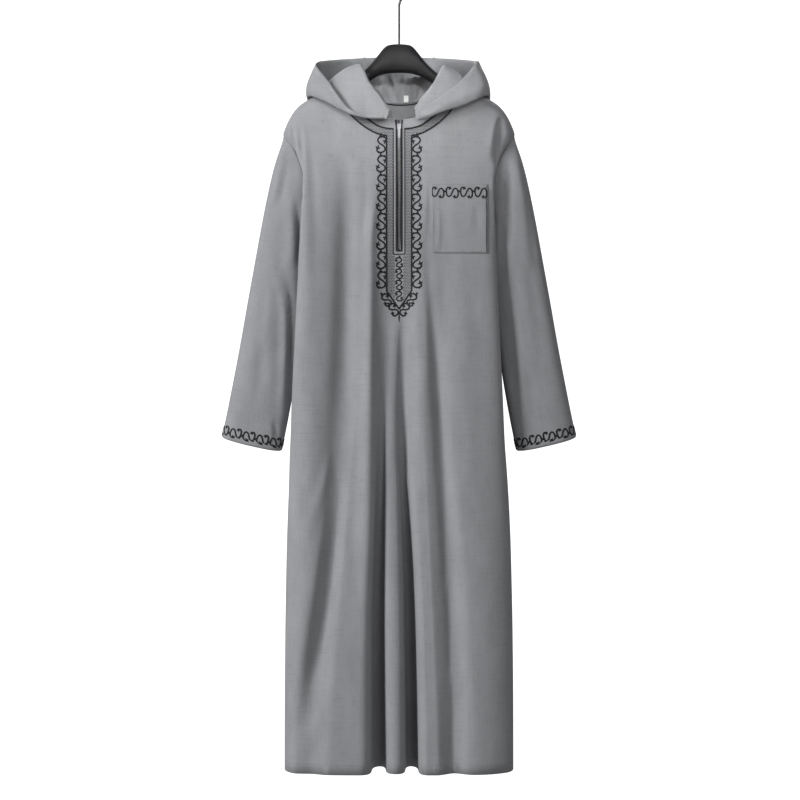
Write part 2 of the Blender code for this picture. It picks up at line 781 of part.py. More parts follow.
def sleeve_point(turn, ring, line, lengths):
    """A point of the right sleeve; ring 0 is the armhole and the last ring the cuff."""
    angle = 2 * math.pi * turn
    low = 1 - abs(turn - 0.5) / 0.5
    start = armhole_point(turn, line, lengths)
    start += (between(0.0008, 0.0026, ease(low / 0.4)), 0.0, between(-0.0014, -0.0006, ease(low / 0.4)))
    index = max(ring - 1, 0)
    sizes = [curve(range(len(SLEEVE)), [row[k] for row in SLEEVE], index) for k in range(len(SLEEVE_COLUMNS))]
    outer = np.array((sizes[0], 0.0, sizes[1]))
    inner = np.array((sizes[2], 0.0, sizes[3]))
    out = signed_power(math.cos(angle), 2 / SLEEVE_SQUARENESS)
    forward = signed_power(math.sin(angle), 2 / SLEEVE_SQUARENESS)
    fold = 0.0
    for centre, reach, depth, first, last in SLEEVE_FOLDS:
        s = (math.degrees(angle) - centre) / reach
        along = (ring - first) / (last - first)
        if abs(s) < 1 and 0 < along < 1:
            fold += depth * (1 + math.cos(math.pi * s)) / 2 * math.sin(math.pi * along) ** 0.8
    point = (outer + inner) / 2 + (outer - inner) / 2 * out
    point[1] = -(sizes[4] - fold) * forward
    if ring > len(SLEEVE) - 1.5:
        point[2] -= CUFF_SAG * max(forward, 0.0)
    if ring < 1:
        point = between(start, point, ring)
    return point


def sleeves():
    line, lengths = armhole_line()
    turns = [k / SLEEVE_STEPS for k in range(SLEEVE_STEPS)] + [0.0]
    rings = [float(k) for k in range(len(SLEEVE) + 1)]

    def right(turn, ring):
        return sleeve_point(turn, ring, line, lengths)

    for name, place, order in (("sleeve_right", right, turns), ("sleeve_left", mirrored(right), turns[::-1])):
        form = cloth_form(order, rings, place, closed=True)
        wall(name, form, "cloth", CLOTH)
        form.free()


def neck_seam(along, side, back):
    """The foot of the hood at a column of the neckline, just clear of the panel's edge, and a point
    a little way up the hood from it."""
    x, z = top_edge(side * along, back)
    point = body_point(side * along, z, back)
    step = 0.004
    ahead = np.array(top_edge(side * min(along + step, NECK_SHARE), back))
    behind = np.array(top_edge(side * (min(along + step, NECK_SHARE) - 2 * step), back))
    dx, dz = abs(ahead[0] - behind[0]), abs(ahead[1] - behind[1])
    inwards = np.array((-side * dz, 0.0, dx)) / math.hypot(dx, dz)
    flat = ease(1 - (NECK_SHARE - along) / 0.2)
    foot = point + inwards * between(0.0013, 0.0018, flat)
    on_top = ease((along - 0.42) / 0.08)
    outwards = np.array((side * 0.45 * on_top, (1 if back else -1) * (1 - on_top), 0.89 * on_top))
    rise = foot + outwards * HOOD_RISE * 0.7 + inwards * HOOD_RISE * 0.4 + (0.0, 0.0, HOOD_RISE * 0.7)
    return foot, rise


def hood_profile(share, side):
    """The hood's profile at one place round the neck, as points from the neck seam to the face edge."""
    back = share > 0.5
    along = 2 * NECK_SHARE * (1 - share if back else share)
    foot, rise = neck_seam(max(along, 1e-6), side, back)
    at = float(np.interp(share, *zip(*HOOD_SPREAD)))
    rows = (HOOD_LEFT if side < 0 else HOOD_RIGHT) + HOOD_BACK
    shares = [row[0] for row in rows]
    points = [foot, rise]
    for column in range(1, len(HOOD_COLUMNS)):
        point = [curve(shares, [row[column][axis] for row in rows], at) for axis in range(3)]
        points.append(np.array((side * point[0], point[1], point[2])))
    crown, away = points[2], (points[3] - foot) * (1, 1, 0)
    away *= HOOD_CROWN / np.linalg.norm(away)
    points[2:3] = [crown - away - (0, 0, HOOD_CROWN / 3), crown + away - (0, 0, HOOD_CROWN / 3)]
    return points


def along_profile(points, at):
    """A point on a smooth line through the points, with at counted in points."""
    i = min(int(at), len(points) - 2)
    spans = [max(float(np.linalg.norm(two - one)), 1e-6) ** 0.5 for one, two in zip(points, points[1:])]
    runs = [(two - one) / span for one, two, span in zip(points, points[1:], spans)]

    def slope(k):
        if k == 0 or k == len(points) - 1:
            return runs[min(k, len(runs) - 1)]
        return (runs[k] * spans[k - 1] + runs[k - 1] * spans[k]) / (spans[k] + spans[k - 1])

    t, span = at - i, spans[i]
    return (
        points[i] * (2 * t**3 - 3 * t**2 + 1)
        + slope(i) * span * (t**3 - 2 * t**2 + t)
        + points[i + 1] * (3 * t**2 - 2 * t**3)
        + slope(i + 1) * span * (t**3 - t**2)
    )


def neck_columns(side, back):
    """The panel's own columns along the neckline, as shares, from the centre outwards."""
    shares = [abs(share) for share in panel_shares(back) if share * side > 0]
    first = 0.0 if back else HOOD_FIRST_SHARE[side > 0]
    return sorted(share for share in shares if first < share <= NECK_SHARE + 1e-9)


def hood_side_place(side):
    def place(share, row):
        return along_profile(hood_profile(share, side), row)

    return place


def hood_forms():
    """The hood's side panels and its centre strip, whose columns stand on the body's own."""
    rows = HOOD_ROWS
    forms = {}
    ends = {}
    for name, side in (("hood_left", -1.0), ("hood_right", 1.0)):
        front = [share / (2 * NECK_SHARE) for share in neck_columns(side, False)]
        rear = [1 - share / (2 * NECK_SHARE) for share in neck_columns(side, True)[::-1]]
        seam = len(rear) - 2 - HOOD_SEAM_COLUMN
        ends[side] = rear[seam:]
        shares = front + rear[1 : seam + 1]
        shares[-1] -= HOOD_SEAM_HALF_GAP
        ordered = shares if side > 0 else shares[::-1]
        forms[name] = cloth_form(ordered, rows, hood_side_place(side))
    right, left = list(ends[1.0]), list(ends[-1.0])
    right[0] += HOOD_SEAM_HALF_GAP
    left[0] += HOOD_SEAM_HALF_GAP
    centre = [(share, 1.0) for share in right] + [(1.0, 1.0)] + [(share, -1.0) for share in left[::-1]]
    forms["hood_centre"] = cloth_form(centre, rows, lambda c, r: along_profile(hood_profile(*c), r))
    return forms


def hood():
    forms = hood_forms()
    for name, form in forms.items():
        wall(name, form, "cloth", HOOD_CLOTH)
    tab = forms["hood_centre"]
    clip(tab, 0, TAB_LEFT_X, True)
    clip(tab, 0, TAB_RIGHT_X, False)
    clip(tab, 2, TAB_BOTTOM_Z, True)
    clip(tab, 2, TAB_TOP_Z, False)
    clip(tab, 1, 0.060, False)
    facing = -1 if sum(face.normal.y for face in tab.faces) > 0 else 1
    wall("size_tab", tab, "tab", TAB_THICKNESS, out=facing * (HOOD_CLOTH / 2 + SEAM_GAP + TAB_THICKNESS / 2))
    for form in forms.values():
        form.free()


def laid_on_front(name, low, high, slot, thickness, out):
    """A piece cut from the front panel's own form between two corners in x and z, moved out or in."""
    form = front_form()
    clip(form, 0, low[0], True)
    clip(form, 0, high[0], False)
    clip(form, 2, low[1], True)
    clip(form, 2, high[1], False)
    clip(form, 1, -0.045, False)
    wall(name, form, slot, thickness, out)
    form.free()


def pocket():
    out = CLOTH / 2 + SEAM_GAP + POCKET_CLOTH / 2
    corners = ((POCKET_LEFT_X, POCKET_BOTTOM_Z), (POCKET_RIGHT_X, POCKET_TOP_Z))
    laid_on_front("pocket", *corners, "cloth", POCKET_CLOTH, out)


def zip_tapes():
    behind = -(CLOTH / 2 + SEAM_GAP + TAPE_THICKNESS / 2)
    low, high = ZIP_BOTTOM_Z - 0.006, neck_height(TAPE_OUTER_X, False) - 0.001
    right = ((TAPE_HALF_GAP, low), (TAPE_OUTER_X, high))
    left = ((-TAPE_OUTER_X, low), (-TAPE_HALF_GAP, high))
    laid_on_front("zip_tape_right", *right, "zip_tape", TAPE_THICKNESS, behind)
    laid_on_front("zip_tape_left", *left, "zip_tape", TAPE_THICKNESS, behind)


def block(name, size, centre, slot):
    form = bmesh.new()
    place = Matrix.Translation(centre) @ Matrix.Diagonal((*size, 1.0))
    bmesh.ops.create_cube(form, size=1.0, matrix=place)
    mesh = bpy.data.meshes.new(name)
    form.to_mesh(mesh)
    form.free()
    return link(name, mesh, material_of(slot))


def rod_across(name, radius, length, centre, slot):
    """A round rod whose axis runs along X."""
    form = bmesh.new()
    place = Matrix.Translation(centre) @ Matrix.Rotation(math.pi / 2, 4, "Y")
    bmesh.ops.create_cone(
        form, cap_ends=True, segments=28, radius1=radius, radius2=radius, depth=length, matrix=place
    )
    mesh = bpy.data.meshes.new(name)
    form.to_mesh(mesh)
    form.free()
    return link(name, mesh, material_of(slot))


def helper(obj):
    """Moves a piece that only shapes another one out of the model."""
    PARTS.objects.unlink(obj)
    CUTTERS.objects.link(obj)
    obj.hide_render = True
    obj.display_type = "WIRE"
    return obj


def boolean(obj, other, operation):
    modifier = obj.modifiers.new(other.name, "BOOLEAN")
    modifier.object = other
    modifier.operation = operation
    helper(other)


def zip_slider():
    """The slider's plate and loop stand in front of the cloth, and its stem reaches back to the tapes."""
    surface = body_point(SLIT_SHARE, SLIDER_Z - SLIDER_HEIGHT / 2)[1]
    front = surface - CLOTH / 2 - SEAM_GAP
    plate_y = front - SLIDER_PLATE / 2
    plate_size = (SLIDER_WIDTH, SLIDER_PLATE, SLIDER_HEIGHT)
    slider = block("zip_slider", plate_size, (0, plate_y, SLIDER_Z), "zip_metal")
    edge = slider.modifiers.new("rounded", "BEVEL")
    edge.width = SLIDER_EDGE
    edge.segments = 2
    stem_back = surface + CLOTH / 2
    stem_size = (STEM_WIDTH, stem_back - plate_y, STEM_HEIGHT)
    stem = block("slider_stem", stem_size, (0, (plate_y + stem_back) / 2, SLIDER_Z), "zip_metal")
    boolean(slider, stem, "UNION")
    axis_y = front - SLIDER_PLATE - LOOP_INNER
    axis_z = SLIDER_Z + LOOP_ABOVE_MIDDLE
    centre = (0, axis_y, axis_z)
    loop = rod_across("slider_loop", LOOP_OUTER, LOOP_WIDTH, centre, "zip_metal")
    hole = rod_across("slider_loop_hole", LOOP_INNER, 3 * LOOP_WIDTH, centre, "zip_metal")
    boolean(loop, hole, "DIFFERENCE")
    boolean(slider, loop, "UNION")
    pull_top = axis_z + PULL_BAR
    pull_centre = (0, axis_y, pull_top - PULL_LENGTH / 2)
    pull = block("zip_pull", (PULL_WIDTH, PULL_THICKNESS, PULL_LENGTH), pull_centre, "zip_metal")
    eye_z = axis_z - PULL_BAR - PULL_EYE_LENGTH / 2
    eye_size = (PULL_EYE_WIDTH, 4 * PULL_THICKNESS, PULL_EYE_LENGTH)
    eye = block("pull_eye", eye_size, (0, axis_y, eye_z), "zip_metal")
    boolean(pull, eye, "DIFFERENCE")


def hanger():
    """The arms are one loft of oval sections through the hanger's depth, from tip to tip."""
    stations = [-row[0] for row in HANGER[:0:-1]] + [row[0] for row in HANGER]
    angles = [2 * math.pi * k / HANGER_STEPS for k in range(HANGER_STEPS)]
    form = bmesh.new()
    rings = []
    for x in stations:
        top, bottom, half = (read(HANGER_COLUMNS, HANGER, "x", abs(x), name) for name in HANGER_COLUMNS[1:])
        centre, reach = (top + bottom) / 2, (top - bottom) / 2
        ring = []
        for angle in angles:
            up, out = math.cos(angle), math.sin(angle)
            y = half * math.copysign(abs(out) ** 0.8, out)
            z = centre + reach * math.copysign(abs(up) ** 0.9, up)
            ring.append(form.verts.new((x, y, z)))
        rings.append(ring)
    for one, two in zip(rings, rings[1:]):
        for k in range(HANGER_STEPS):
            form.faces.new((one[k], one[k - 1], two[k - 1], two[k]))
    form.faces.new(rings[0])
    form.faces.new(rings[-1][::-1])
    bmesh.ops.recalc_face_normals(form, faces=form.faces)
    mesh = bpy.data.meshes.new("hanger_arms")
    form.to_mesh(mesh)
    form.free()
    mesh.shade_smooth()
    link("hanger_arms", mesh, material_of("hanger_plastic"))


def hanger_hook():
    """One wire: up out of the arms, out to the side and over the rail."""
    centre_z = -HOOK_RADIUS + HOOK_WIRE_RADIUS
    path = [(0.0, HANGER[0][1] + SEAM_GAP)] + [(x, z) for x, z in HOOK_SHANK]
    for k in range(HOOK_STEPS + 1):
        angle = math.radians(between(HOOK_START_ANGLE, HOOK_TIP_ANGLE, k / HOOK_STEPS))
        path.append((HOOK_RADIUS * math.cos(angle), centre_z + HOOK_RADIUS * math.sin(angle)))
    wire = bpy.data.curves.new("hanger_hook", "CURVE")
    wire.dimensions = "3D"
    wire.bevel_depth = HOOK_WIRE_RADIUS
    wire.bevel_resolution = 2
    wire.use_fill_caps = True
    spline = wire.splines.new("POLY")
    spline.points.add(len(path) - 1)
    for point, (x, z) in zip(spline.points, path):
        point.co = (x, 0.0, z, 1.0)
    link("hanger_hook", wire, material_of("hook_metal"))


for old in list(bpy.data.objects):
    bpy.data.objects.remove(old)
PARTS = bpy.data.collections.new("hooded_robe")
CUTTERS = bpy.data.collections.new("cutters")
for collection in (PARTS, CUTTERS):
    bpy.context.scene.collection.children.link(collection)

body_panels()
sleeves()
hood()
pocket()
zip_tapes()
zip_slider()
hanger()
hanger_hook()
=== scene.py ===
"""Looks of a hooded robe on its hanger: woven cloth, black embroidery, a zip, and the hanger itself."""

import math

import bmesh
import bpy
from mathutils import Matrix, Vector
from mathutils.bvhtree import BVHTree


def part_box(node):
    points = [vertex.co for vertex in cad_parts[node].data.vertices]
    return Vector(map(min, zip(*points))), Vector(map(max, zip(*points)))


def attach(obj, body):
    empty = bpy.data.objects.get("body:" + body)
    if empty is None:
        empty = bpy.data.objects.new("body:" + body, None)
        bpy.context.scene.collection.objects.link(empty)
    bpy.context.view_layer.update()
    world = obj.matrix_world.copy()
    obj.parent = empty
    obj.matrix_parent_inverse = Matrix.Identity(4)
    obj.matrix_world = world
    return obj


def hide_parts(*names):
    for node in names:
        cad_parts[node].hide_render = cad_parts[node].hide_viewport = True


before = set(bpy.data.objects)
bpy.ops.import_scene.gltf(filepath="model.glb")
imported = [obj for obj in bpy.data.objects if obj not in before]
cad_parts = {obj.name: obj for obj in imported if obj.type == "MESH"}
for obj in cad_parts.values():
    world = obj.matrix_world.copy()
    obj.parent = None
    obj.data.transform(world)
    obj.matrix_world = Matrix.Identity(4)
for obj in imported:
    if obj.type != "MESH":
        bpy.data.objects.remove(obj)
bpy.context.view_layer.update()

# Camera. The robe is photographed straight on, from about 3.3 m away, with the camera level and
# at half the robe's height.
CAMERA_PLACE, CAMERA_LENS, SENSOR_WIDTH = (0.002, -3.30, -0.876), 72.0, 36.0
scene = bpy.context.scene
camera = bpy.data.objects.new("camera", bpy.data.cameras.new("camera"))
scene.collection.objects.link(camera)
scene.camera = camera
camera.location = CAMERA_PLACE
camera.rotation_euler = (math.radians(90), 0, 0)
camera.data.lens = CAMERA_LENS
camera.data.sensor_width = SENSOR_WIDTH

# Cloth of the robe. A medium plain weave of polyester and rayon, piece-dyed mid grey, with slubs
# in both directions. Every panel is cut from it, so its colour and its grain stand here once.
CLOTH_THICKNESS = 0.0011
THREAD_DARK, THREAD_LIGHT = "#77787a", "#8b8c8f"
WARP_SCALE, WEFT_SCALE, CLOUD_SCALE = (480, 480, 34), (30, 30, 430), (34, 34, 12)


def linear(hex_colour):
    """An sRGB hex colour as linear red, green, blue and alpha."""
    levels = [int(hex_colour[k : k + 2], 16) / 255 for k in (1, 3, 5)]
    return [v / 12.92 if v <= 0.04045 else ((v + 0.055) / 1.055) ** 2.4 for v in levels] + [1.0]


def add(material, kind, links=(), **settings):
    """Adds a node, sets what the settings name, and links its inputs to (socket, node, output)."""
    node = material.node_tree.nodes.new(kind)
    for name, value in settings.items():
        if hasattr(node, name):
            setattr(node, name, value)
        else:
            node.inputs[name.replace("_", " ")].default_value = value
    for socket, source, output in links:
        material.node_tree.links.new(source.outputs[output], node.inputs[socket])
    return node


def new_material(name, roughness=0.5, metallic=0.0):
    material = bpy.data.materials.new(name)
    material.use_nodes = True
    shader = material.node_tree.nodes["Principled BSDF"]
    shader.inputs["Roughness"].default_value = roughness
    shader.inputs["Metallic"].default_value = metallic
    return material, shader


def ramp(material, source, output, stops):
    """A colour ramp on a value: stops are (place, hex colour)."""
    node = add(material, "ShaderNodeValToRGB", [("Fac", source, output)])
    for element, (place, colour) in zip(node.color_ramp.elements, stops):
        element.position = place
        element.color = linear(colour)
    return node


def noise(material, place, output, scale, detail):
    """Noise over a place's coordinates; a scale of three numbers stretches it along the axes."""
    if isinstance(scale, tuple):
        place = add(material, "ShaderNodeMapping", [("Vector", place, output)], Scale=scale)
        output, scale = "Vector", 1.0
    return add(material, "ShaderNodeTexNoise", [("Vector", place, output)], Scale=scale, Detail=detail)


def finish_shader(material, shader, colour, height, strength, depth):
    """Links a colour and a bump to the shader; colour and height are each (node, output)."""
    bump = add(material, "ShaderNodeBump", [("Height", *height)], Strength=strength, Distance=depth)
    material.node_tree.links.new(colour[0].outputs[colour[1]], shader.inputs["Base Color"])
    material.node_tree.links.new(bump.outputs["Normal"], shader.inputs["Normal"])


def plain_weave():
    """Matt plain weave. Its threads, 0.4 mm apart, are drawn 2 mm apart so that they show as grain."""
    material, shader = new_material("grey_plain_weave", roughness=0.86)
    grain = add(material, "ShaderNodeAttribute", attribute_name="grain")
    warp, weft = (noise(material, grain, "Vector", scale, 3.0) for scale in (WARP_SCALE, WEFT_SCALE))
    woven = add(material, "ShaderNodeMath", [(0, warp, "Fac"), (1, weft, "Fac")], operation="ADD")
    colour = ramp(material, woven, "Value", ((0.30, THREAD_DARK), (1.0, THREAD_LIGHT)))
    cloud = noise(material, grain, "Vector", CLOUD_SCALE, 5.0)
    shade = ramp(material, cloud, "Fac", ((0.3, "#f1f1f1"), (0.7, "#ffffff")))
    mixed = add(
        material, "ShaderNodeMix", [(6, colour, "Color"), (7, shade, "Color")],
        data_type="RGBA", blend_type="MULTIPLY",
    )
    mixed.inputs[0].default_value = 1.0
    finish_shader(material, shader, (mixed, 2), (woven, "Value"), 0.35, 0.0004)
    shader.inputs["Sheen Weight"].default_value = 0.15
    shader.inputs["Sheen Roughness"].default_value = 0.5
    shader.inputs["Specular IOR Level"].default_value = 0.25
    return material


GREY_CLOTH = plain_weave()

# Front and back panels. Each is one width of cloth from the shoulders to the hem, hanging from the
# hanger in soft vertical folds; the front is slit for the zip. They are sewn to the gores and sleeves.

# Faces that turn more sharply than RIM_ANGLE part one layer of a wall from the next; LARGE_LAYER is in m2
RIM_ANGLE, LARGE_LAYER, MERGE = math.radians(68), 0.010, 0.00003
# Soft folds, as start (x, z), end (x, z), half width, height and, where it isn't FOLD_BOW, bow: the share of
# its length that it bows to one side by. A trough's height is below 0.
FRONT_FOLDS = (
    ((-0.103, -0.385), (-0.108, -1.210), 0.020, -0.0105, 0.0),
    ((-0.116, -1.030), (-0.188, -1.540), 0.016, -0.0080, 0.012),
    ((-0.192, -0.400), (-0.196, -1.420), 0.038, 0.0110, 0.0),
    ((-0.122, -0.980), (-0.192, -1.540), 0.017, -0.0060),
    ((-0.140, -0.990), (-0.188, -1.150), 0.009, 0.0030),
    ((-0.150, -1.508), (-0.198, -1.565), 0.011, 0.0034),
    ((-0.040, -0.410), (-0.070, -0.600), 0.010, 0.0030),
    ((-0.055, -0.400), (-0.066, -1.300), 0.012, 0.0078, 0.0),
    ((0.030, -0.640), (0.038, -1.020), 0.011, 0.0030),
    ((0.056, -0.550), (0.141, -1.660), 0.013, -0.0072, 0.0),
    ((0.008, -0.710), (0.013, -1.040), 0.013, -0.0085, 0.0),
    ((0.150, -0.640), (0.168, -1.240), 0.024, -0.0018),
    ((0.120, -0.600), (0.132, -0.820), 0.016, 0.0012),
    ((-0.219, -0.318), (-0.212, -0.392), 0.0050, -0.0040),
    ((-0.211, -0.326), (-0.203, -0.410), 0.0045, 0.0022),
    ((-0.202, -0.315), (-0.199, -0.395), 0.0045, -0.0020),
    ((-0.194, -0.310), (-0.191, -0.520), 0.0060, 0.0020),
    ((-0.180, -0.330), (-0.174, -0.680), 0.0110, -0.0022),
    ((0.208, -0.298), (0.198, -0.400), 0.0085, -0.0085, 0.0),
    ((0.190, -0.330), (0.188, -0.470), 0.0080, 0.0016),
    ((0.062, -0.430), (0.058, -0.560), 0.0050, -0.0012),
)
BACK_FOLDS = (
    ((-0.120, -0.300), (-0.160, -0.760), 0.014, -0.0040),
    ((0.116, -0.310), (0.150, -0.700), 0.014, -0.0036),
    ((-0.070, -0.330), (-0.030, -0.560), 0.012, -0.0024),
    ((0.060, -0.340), (0.020, -0.600), 0.011, 0.0022),
    ((-0.100, -0.640), (-0.086, -1.300), 0.015, 0.0040),
    ((0.094, -0.620), (0.092, -1.240), 0.014, 0.0036),
    ((0.000, -0.560), (-0.006, -1.000), 0.013, -0.0026),
    ((-0.180, -0.700), (-0.196, -1.220), 0.014, -0.0026),
    ((0.176, -0.760), (0.200, -1.400), 0.016, -0.0030),
    ((-0.218, -0.310), (-0.202, -0.410), 0.006, -0.0034),
    ((0.216, -0.312), (0.204, -0.400), 0.006, -0.0030),
    ((0.150, -1.300), (0.196, -1.560), 0.014, 0.0030),
)
# A fold widens along its length and fades at its ends; it fades too where the cloth turns to the side
FOLD_BOW, FOLD_WIDTH, FOLD_WIDENING, FOLD_REACH, FOLD_FADE, FOLD_FACING = 0.02, 0.7, 0.6, 3.4, 0.7, 0.5
RIDGE_HEIGHT, RIDGE_PLACE = 0.35, 1.8
# The side seams: where they are, how upright an edge of theirs is, and how far it is turned under and in
SIDE_X, SIDE_TOP_Z, UPRIGHT, SIDE_UNDER, SIDE_IN = 0.15, -0.44, 0.35, 0.0090, 0.0028


def ease(share):
    share = min(max(share, 0.0), 1.0)
    return share * share * (3 - 2 * share)


def mesh_object(name, form):
    """A mesh object made from a bmesh, which is used up."""
    mesh = bpy.data.meshes.new(name)
    form.to_mesh(mesh)
    form.free()
    obj = bpy.data.objects.new(name, mesh)
    scene.collection.objects.link(obj)
    return obj


def new_object(name, form, material):
    """Makes a smooth mesh object from a bmesh, in its place, and has it ride with the garment."""
    obj = mesh_object(name, form)
    obj.data.materials.append(material)
    obj.data.polygons.foreach_set("use_smooth", [True] * len(obj.data.polygons))
    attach(obj, "garment")
    return obj


def worked_in(obj):
    """The object's mesh with its modifiers worked in, as a bmesh; the object is taken away."""
    bpy.context.view_layer.update()
    evaluated = obj.evaluated_get(bpy.context.evaluated_depsgraph_get())
    form = bmesh.new()
    form.from_mesh(evaluated.to_mesh())
    evaluated.to_mesh_clear()
    bpy.data.objects.remove(obj)
    return form


def solid_copy(node):
    """A CAD node's solid with its loose triangles joined up."""
    form = bmesh.new()
    form.from_mesh(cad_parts[node].data)
    bmesh.ops.remove_doubles(form, verts=form.verts, dist=MERGE)
    return form


def join_triangles(form):
    bmesh.ops.join_triangles(
        form, faces=form.faces, angle_face_threshold=math.radians(60), angle_shape_threshold=math.radians(75)
    )


def outer_skin(node, centre, rim_width=0.0):
    """The outer layer of a wall of cloth: its layers meet at right angles along the rims.

    A rim width is given where cloth is folded sharply: its rims are found by that width, and large layers
    that share an edge are one face of the cloth."""
    form = solid_copy(node)
    lengths = {face: max(edge.calc_length() for edge in face.edges) for face in form.faces}
    waiting = {face for face in form.faces if 2 * face.calc_area() >= rim_width * lengths[face]}
    layers = []
    while waiting:
        layer, front = [], [waiting.pop()]
        while front:
            face = front.pop()
            layer.append(face)
            for edge in face.edges:
                if len(edge.link_faces) == 2 and edge.calc_face_angle() < RIM_ANGLE:
                    for other in edge.link_faces:
                        if other in waiting:
                            waiting.remove(other)
                            front.append(other)
        layers.append(layer)

    def outwardness(layer):
        total = 0.0
        for face in layer:
            out = face.calc_center_median() - centre
            out.z = 0
            total += face.calc_area() * face.normal.dot(out)
        return total

    outermost = max(layers, key=outwardness)
    outer_edges = {edge for face in outermost for edge in face.edges}
    kept = set(outermost)
    for layer in layers if rim_width else ():
        if sum(face.calc_area() for face in layer) > LARGE_LAYER:
            if any(edge in outer_edges for face in layer for edge in face.edges):
                kept.update(layer)
    bmesh.ops.delete(form, geom=[face for face in form.faces if face not in kept], context="FACES")
    join_triangles(form)
    return form


def smoothed(form, levels):
    """The form after Catmull-Clark subdivision, with its corners kept."""
    obj = mesh_object("smoothed", form)
    mesh = obj.data
    finer = obj.modifiers.new("finer", "SUBSURF")
    finer.levels = finer.render_levels = levels
    finer.boundary_smooth = "PRESERVE_CORNERS"
    form = worked_in(obj)
    bpy.data.meshes.remove(mesh)
    return form


def split_long_edges(form, longest, rounds=4):
    """Halves edges that are longer than the length given, so that small folds have points to move."""
    for _ in range(rounds):
        long_edges = [edge for edge in form.edges if edge.calc_length() > longest]
        if not long_edges:
            return
        bmesh.ops.subdivide_edges(form, edges=long_edges, cuts=1, use_grid_fill=True)


def fold_move(fold, x, z):
    """How far one soft fold moves the cloth at a place: in at its trough, with a low ridge beside it."""
    (start_x, start_z), (end_x, end_z), half_width, height, *own_bow = fold
    bow_share = own_bow[0] if own_bow else FOLD_BOW
    run = Vector((end_x - start_x, end_z - start_z))
    place = Vector((x - start_x, z - start_z))
    share = place.dot(run) / run.length_squared
    if not 0 < share < 1:
        return 0.0
    bow = bow_share * run.length * math.sin(math.pi * share)
    off = (place.cross(run) / run.length + bow) / (half_width * (FOLD_WIDTH + FOLD_WIDENING * share))
    if abs(off) > FOLD_REACH:
        return 0.0
    profile = math.exp(-off * off) - RIDGE_HEIGHT * math.exp(-((off - RIDGE_PLACE) ** 2))
    return height * profile * math.sin(math.pi * share) ** FOLD_FADE


def fold_cloth(form, front_folds, back_folds):
    """Moves the cloth along its normals by the folds of the side that it faces."""
    form.normal_update()
    moves = []
    for vert in form.verts:
        folds = front_folds if vert.normal.y < 0 else back_folds
        facing = ease(abs(vert.normal.y) / FOLD_FACING)
        moves.append(facing * sum(fold_move(fold, vert.co.x, vert.co.z) for fold in folds))
    for vert, move in zip(form.verts, moves):
        vert.co += vert.normal * move


def give_wall(sheet, thickness):
    """Gives a sheet its thickness, inwards from its outer skin."""
    wall = sheet.modifiers.new("wall", "SOLIDIFY")
    wall.thickness, wall.offset = thickness, -1.0


def cloth_panel(
    node, centre, front_folds=(), back_folds=(), longest=0.024, turn=0.0, tuck=None, rim_width=0.0,
    thickness=CLOTH_THICKNESS,
):
    """A panel's sheet: the outer skin of its solid, made fine, folded, and given its grain and its wall."""
    form = smoothed(outer_skin(node, centre, rim_width), 2)
    split_long_edges(form, longest)
    fold_cloth(form, front_folds, back_folds)
    if tuck:
        tuck(form)
    panel = new_object(f"{node}_cloth", form, GREY_CLOTH)
    grain = panel.data.attributes.new("grain", "FLOAT_VECTOR", "POINT")
    upright = Matrix.Rotation(turn, 3, "Y")
    for value, vert in zip(grain.data, panel.data.vertices):
        value.vector = upright @ vert.co
    give_wall(panel, thickness)
    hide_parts(node)
    return panel


def side_allowance(form):
    """Turns a panel's upright side edges in, under the panel that each is sewn to."""
    edges = [
        e for e in form.edges
        if e.is_boundary and all(abs(v.co.x) > SIDE_X and v.co.z < SIDE_TOP_Z for v in e.verts)
        and abs(e.verts[0].co.z - e.verts[1].co.z) > UPRIGHT * e.calc_length()
    ]
    beyond = {}
    for edge in edges:
        inside = edge.link_faces[0].calc_center_median()
        for vert in edge.verts:
            beyond[vert.co.copy().freeze()] = 1 if vert.co.y > inside.y else -1
    for made in bmesh.ops.extrude_edge_only(form, edges=edges)["geom"]:
        if isinstance(made, bmesh.types.BMVert):
            way = beyond[made.co.copy().freeze()]
            made.co += Vector((-math.copysign(SIDE_IN, made.co.x), way * SIDE_UNDER, 0))
    for edge in edges:
        edge.smooth = False


front_cloth = cloth_panel("front", Vector((0, 0.02, 0)), front_folds=FRONT_FOLDS)
back_cloth = cloth_panel("back", Vector((0, -0.02, 0)), back_folds=BACK_FOLDS, tuck=side_allowance)

# Gores. A wedge of the same cloth is let into each side seam below the knee, so that the hem swings. It is
# sewn to the front and the back, and its seam allowances are turned in under both.
for node in ("gore_left", "gore_right"):
    gore = cloth_panel(node, Vector((0, 0, 0)), tuck=side_allowance)

# Sleeves. One piece each, straight and narrowing to the cuff, sewn into the armhole with the seam turned in.
# They hang down beside the body with drag folds under the arm and soft folds along them.
LEFT_SLEEVE_FOLDS = (
    ((-0.229, -0.372), (-0.244, -0.480), 0.0065, -0.0045),
    ((-0.226, -0.460), (-0.218, -0.620), 0.0090, 0.0022),
    ((-0.209, -0.465), (-0.205, -0.610), 0.0070, -0.0055),
    ((-0.256, -0.560), (-0.216, -0.700), 0.0065, -0.0030),
    ((-0.236, -0.650), (-0.241, -0.930), 0.0085, 0.0032),
    ((-0.227, -0.600), (-0.230, -0.900), 0.0060, -0.0034),
    ((-0.284, -0.740), (-0.286, -0.880), 0.0110, -0.0022),
    ((-0.264, -0.620), (-0.272, -0.780), 0.0090, 0.0014),
    ((-0.256, -0.915), (-0.250, -0.960), 0.0055, -0.0026),
)
RIGHT_SLEEVE_FOLDS = (
    ((0.222, -0.380), (0.224, -0.560), 0.0085, -0.0070, 0.0),
    ((0.238, -0.372), (0.262, -0.620), 0.0085, 0.0026),
    ((0.209, -0.470), (0.212, -0.640), 0.0070, -0.0045),
    ((0.262, -0.600), (0.300, -0.880), 0.0140, -0.0018),
    ((0.236, -0.660), (0.256, -0.930), 0.0090, 0.0026),
)
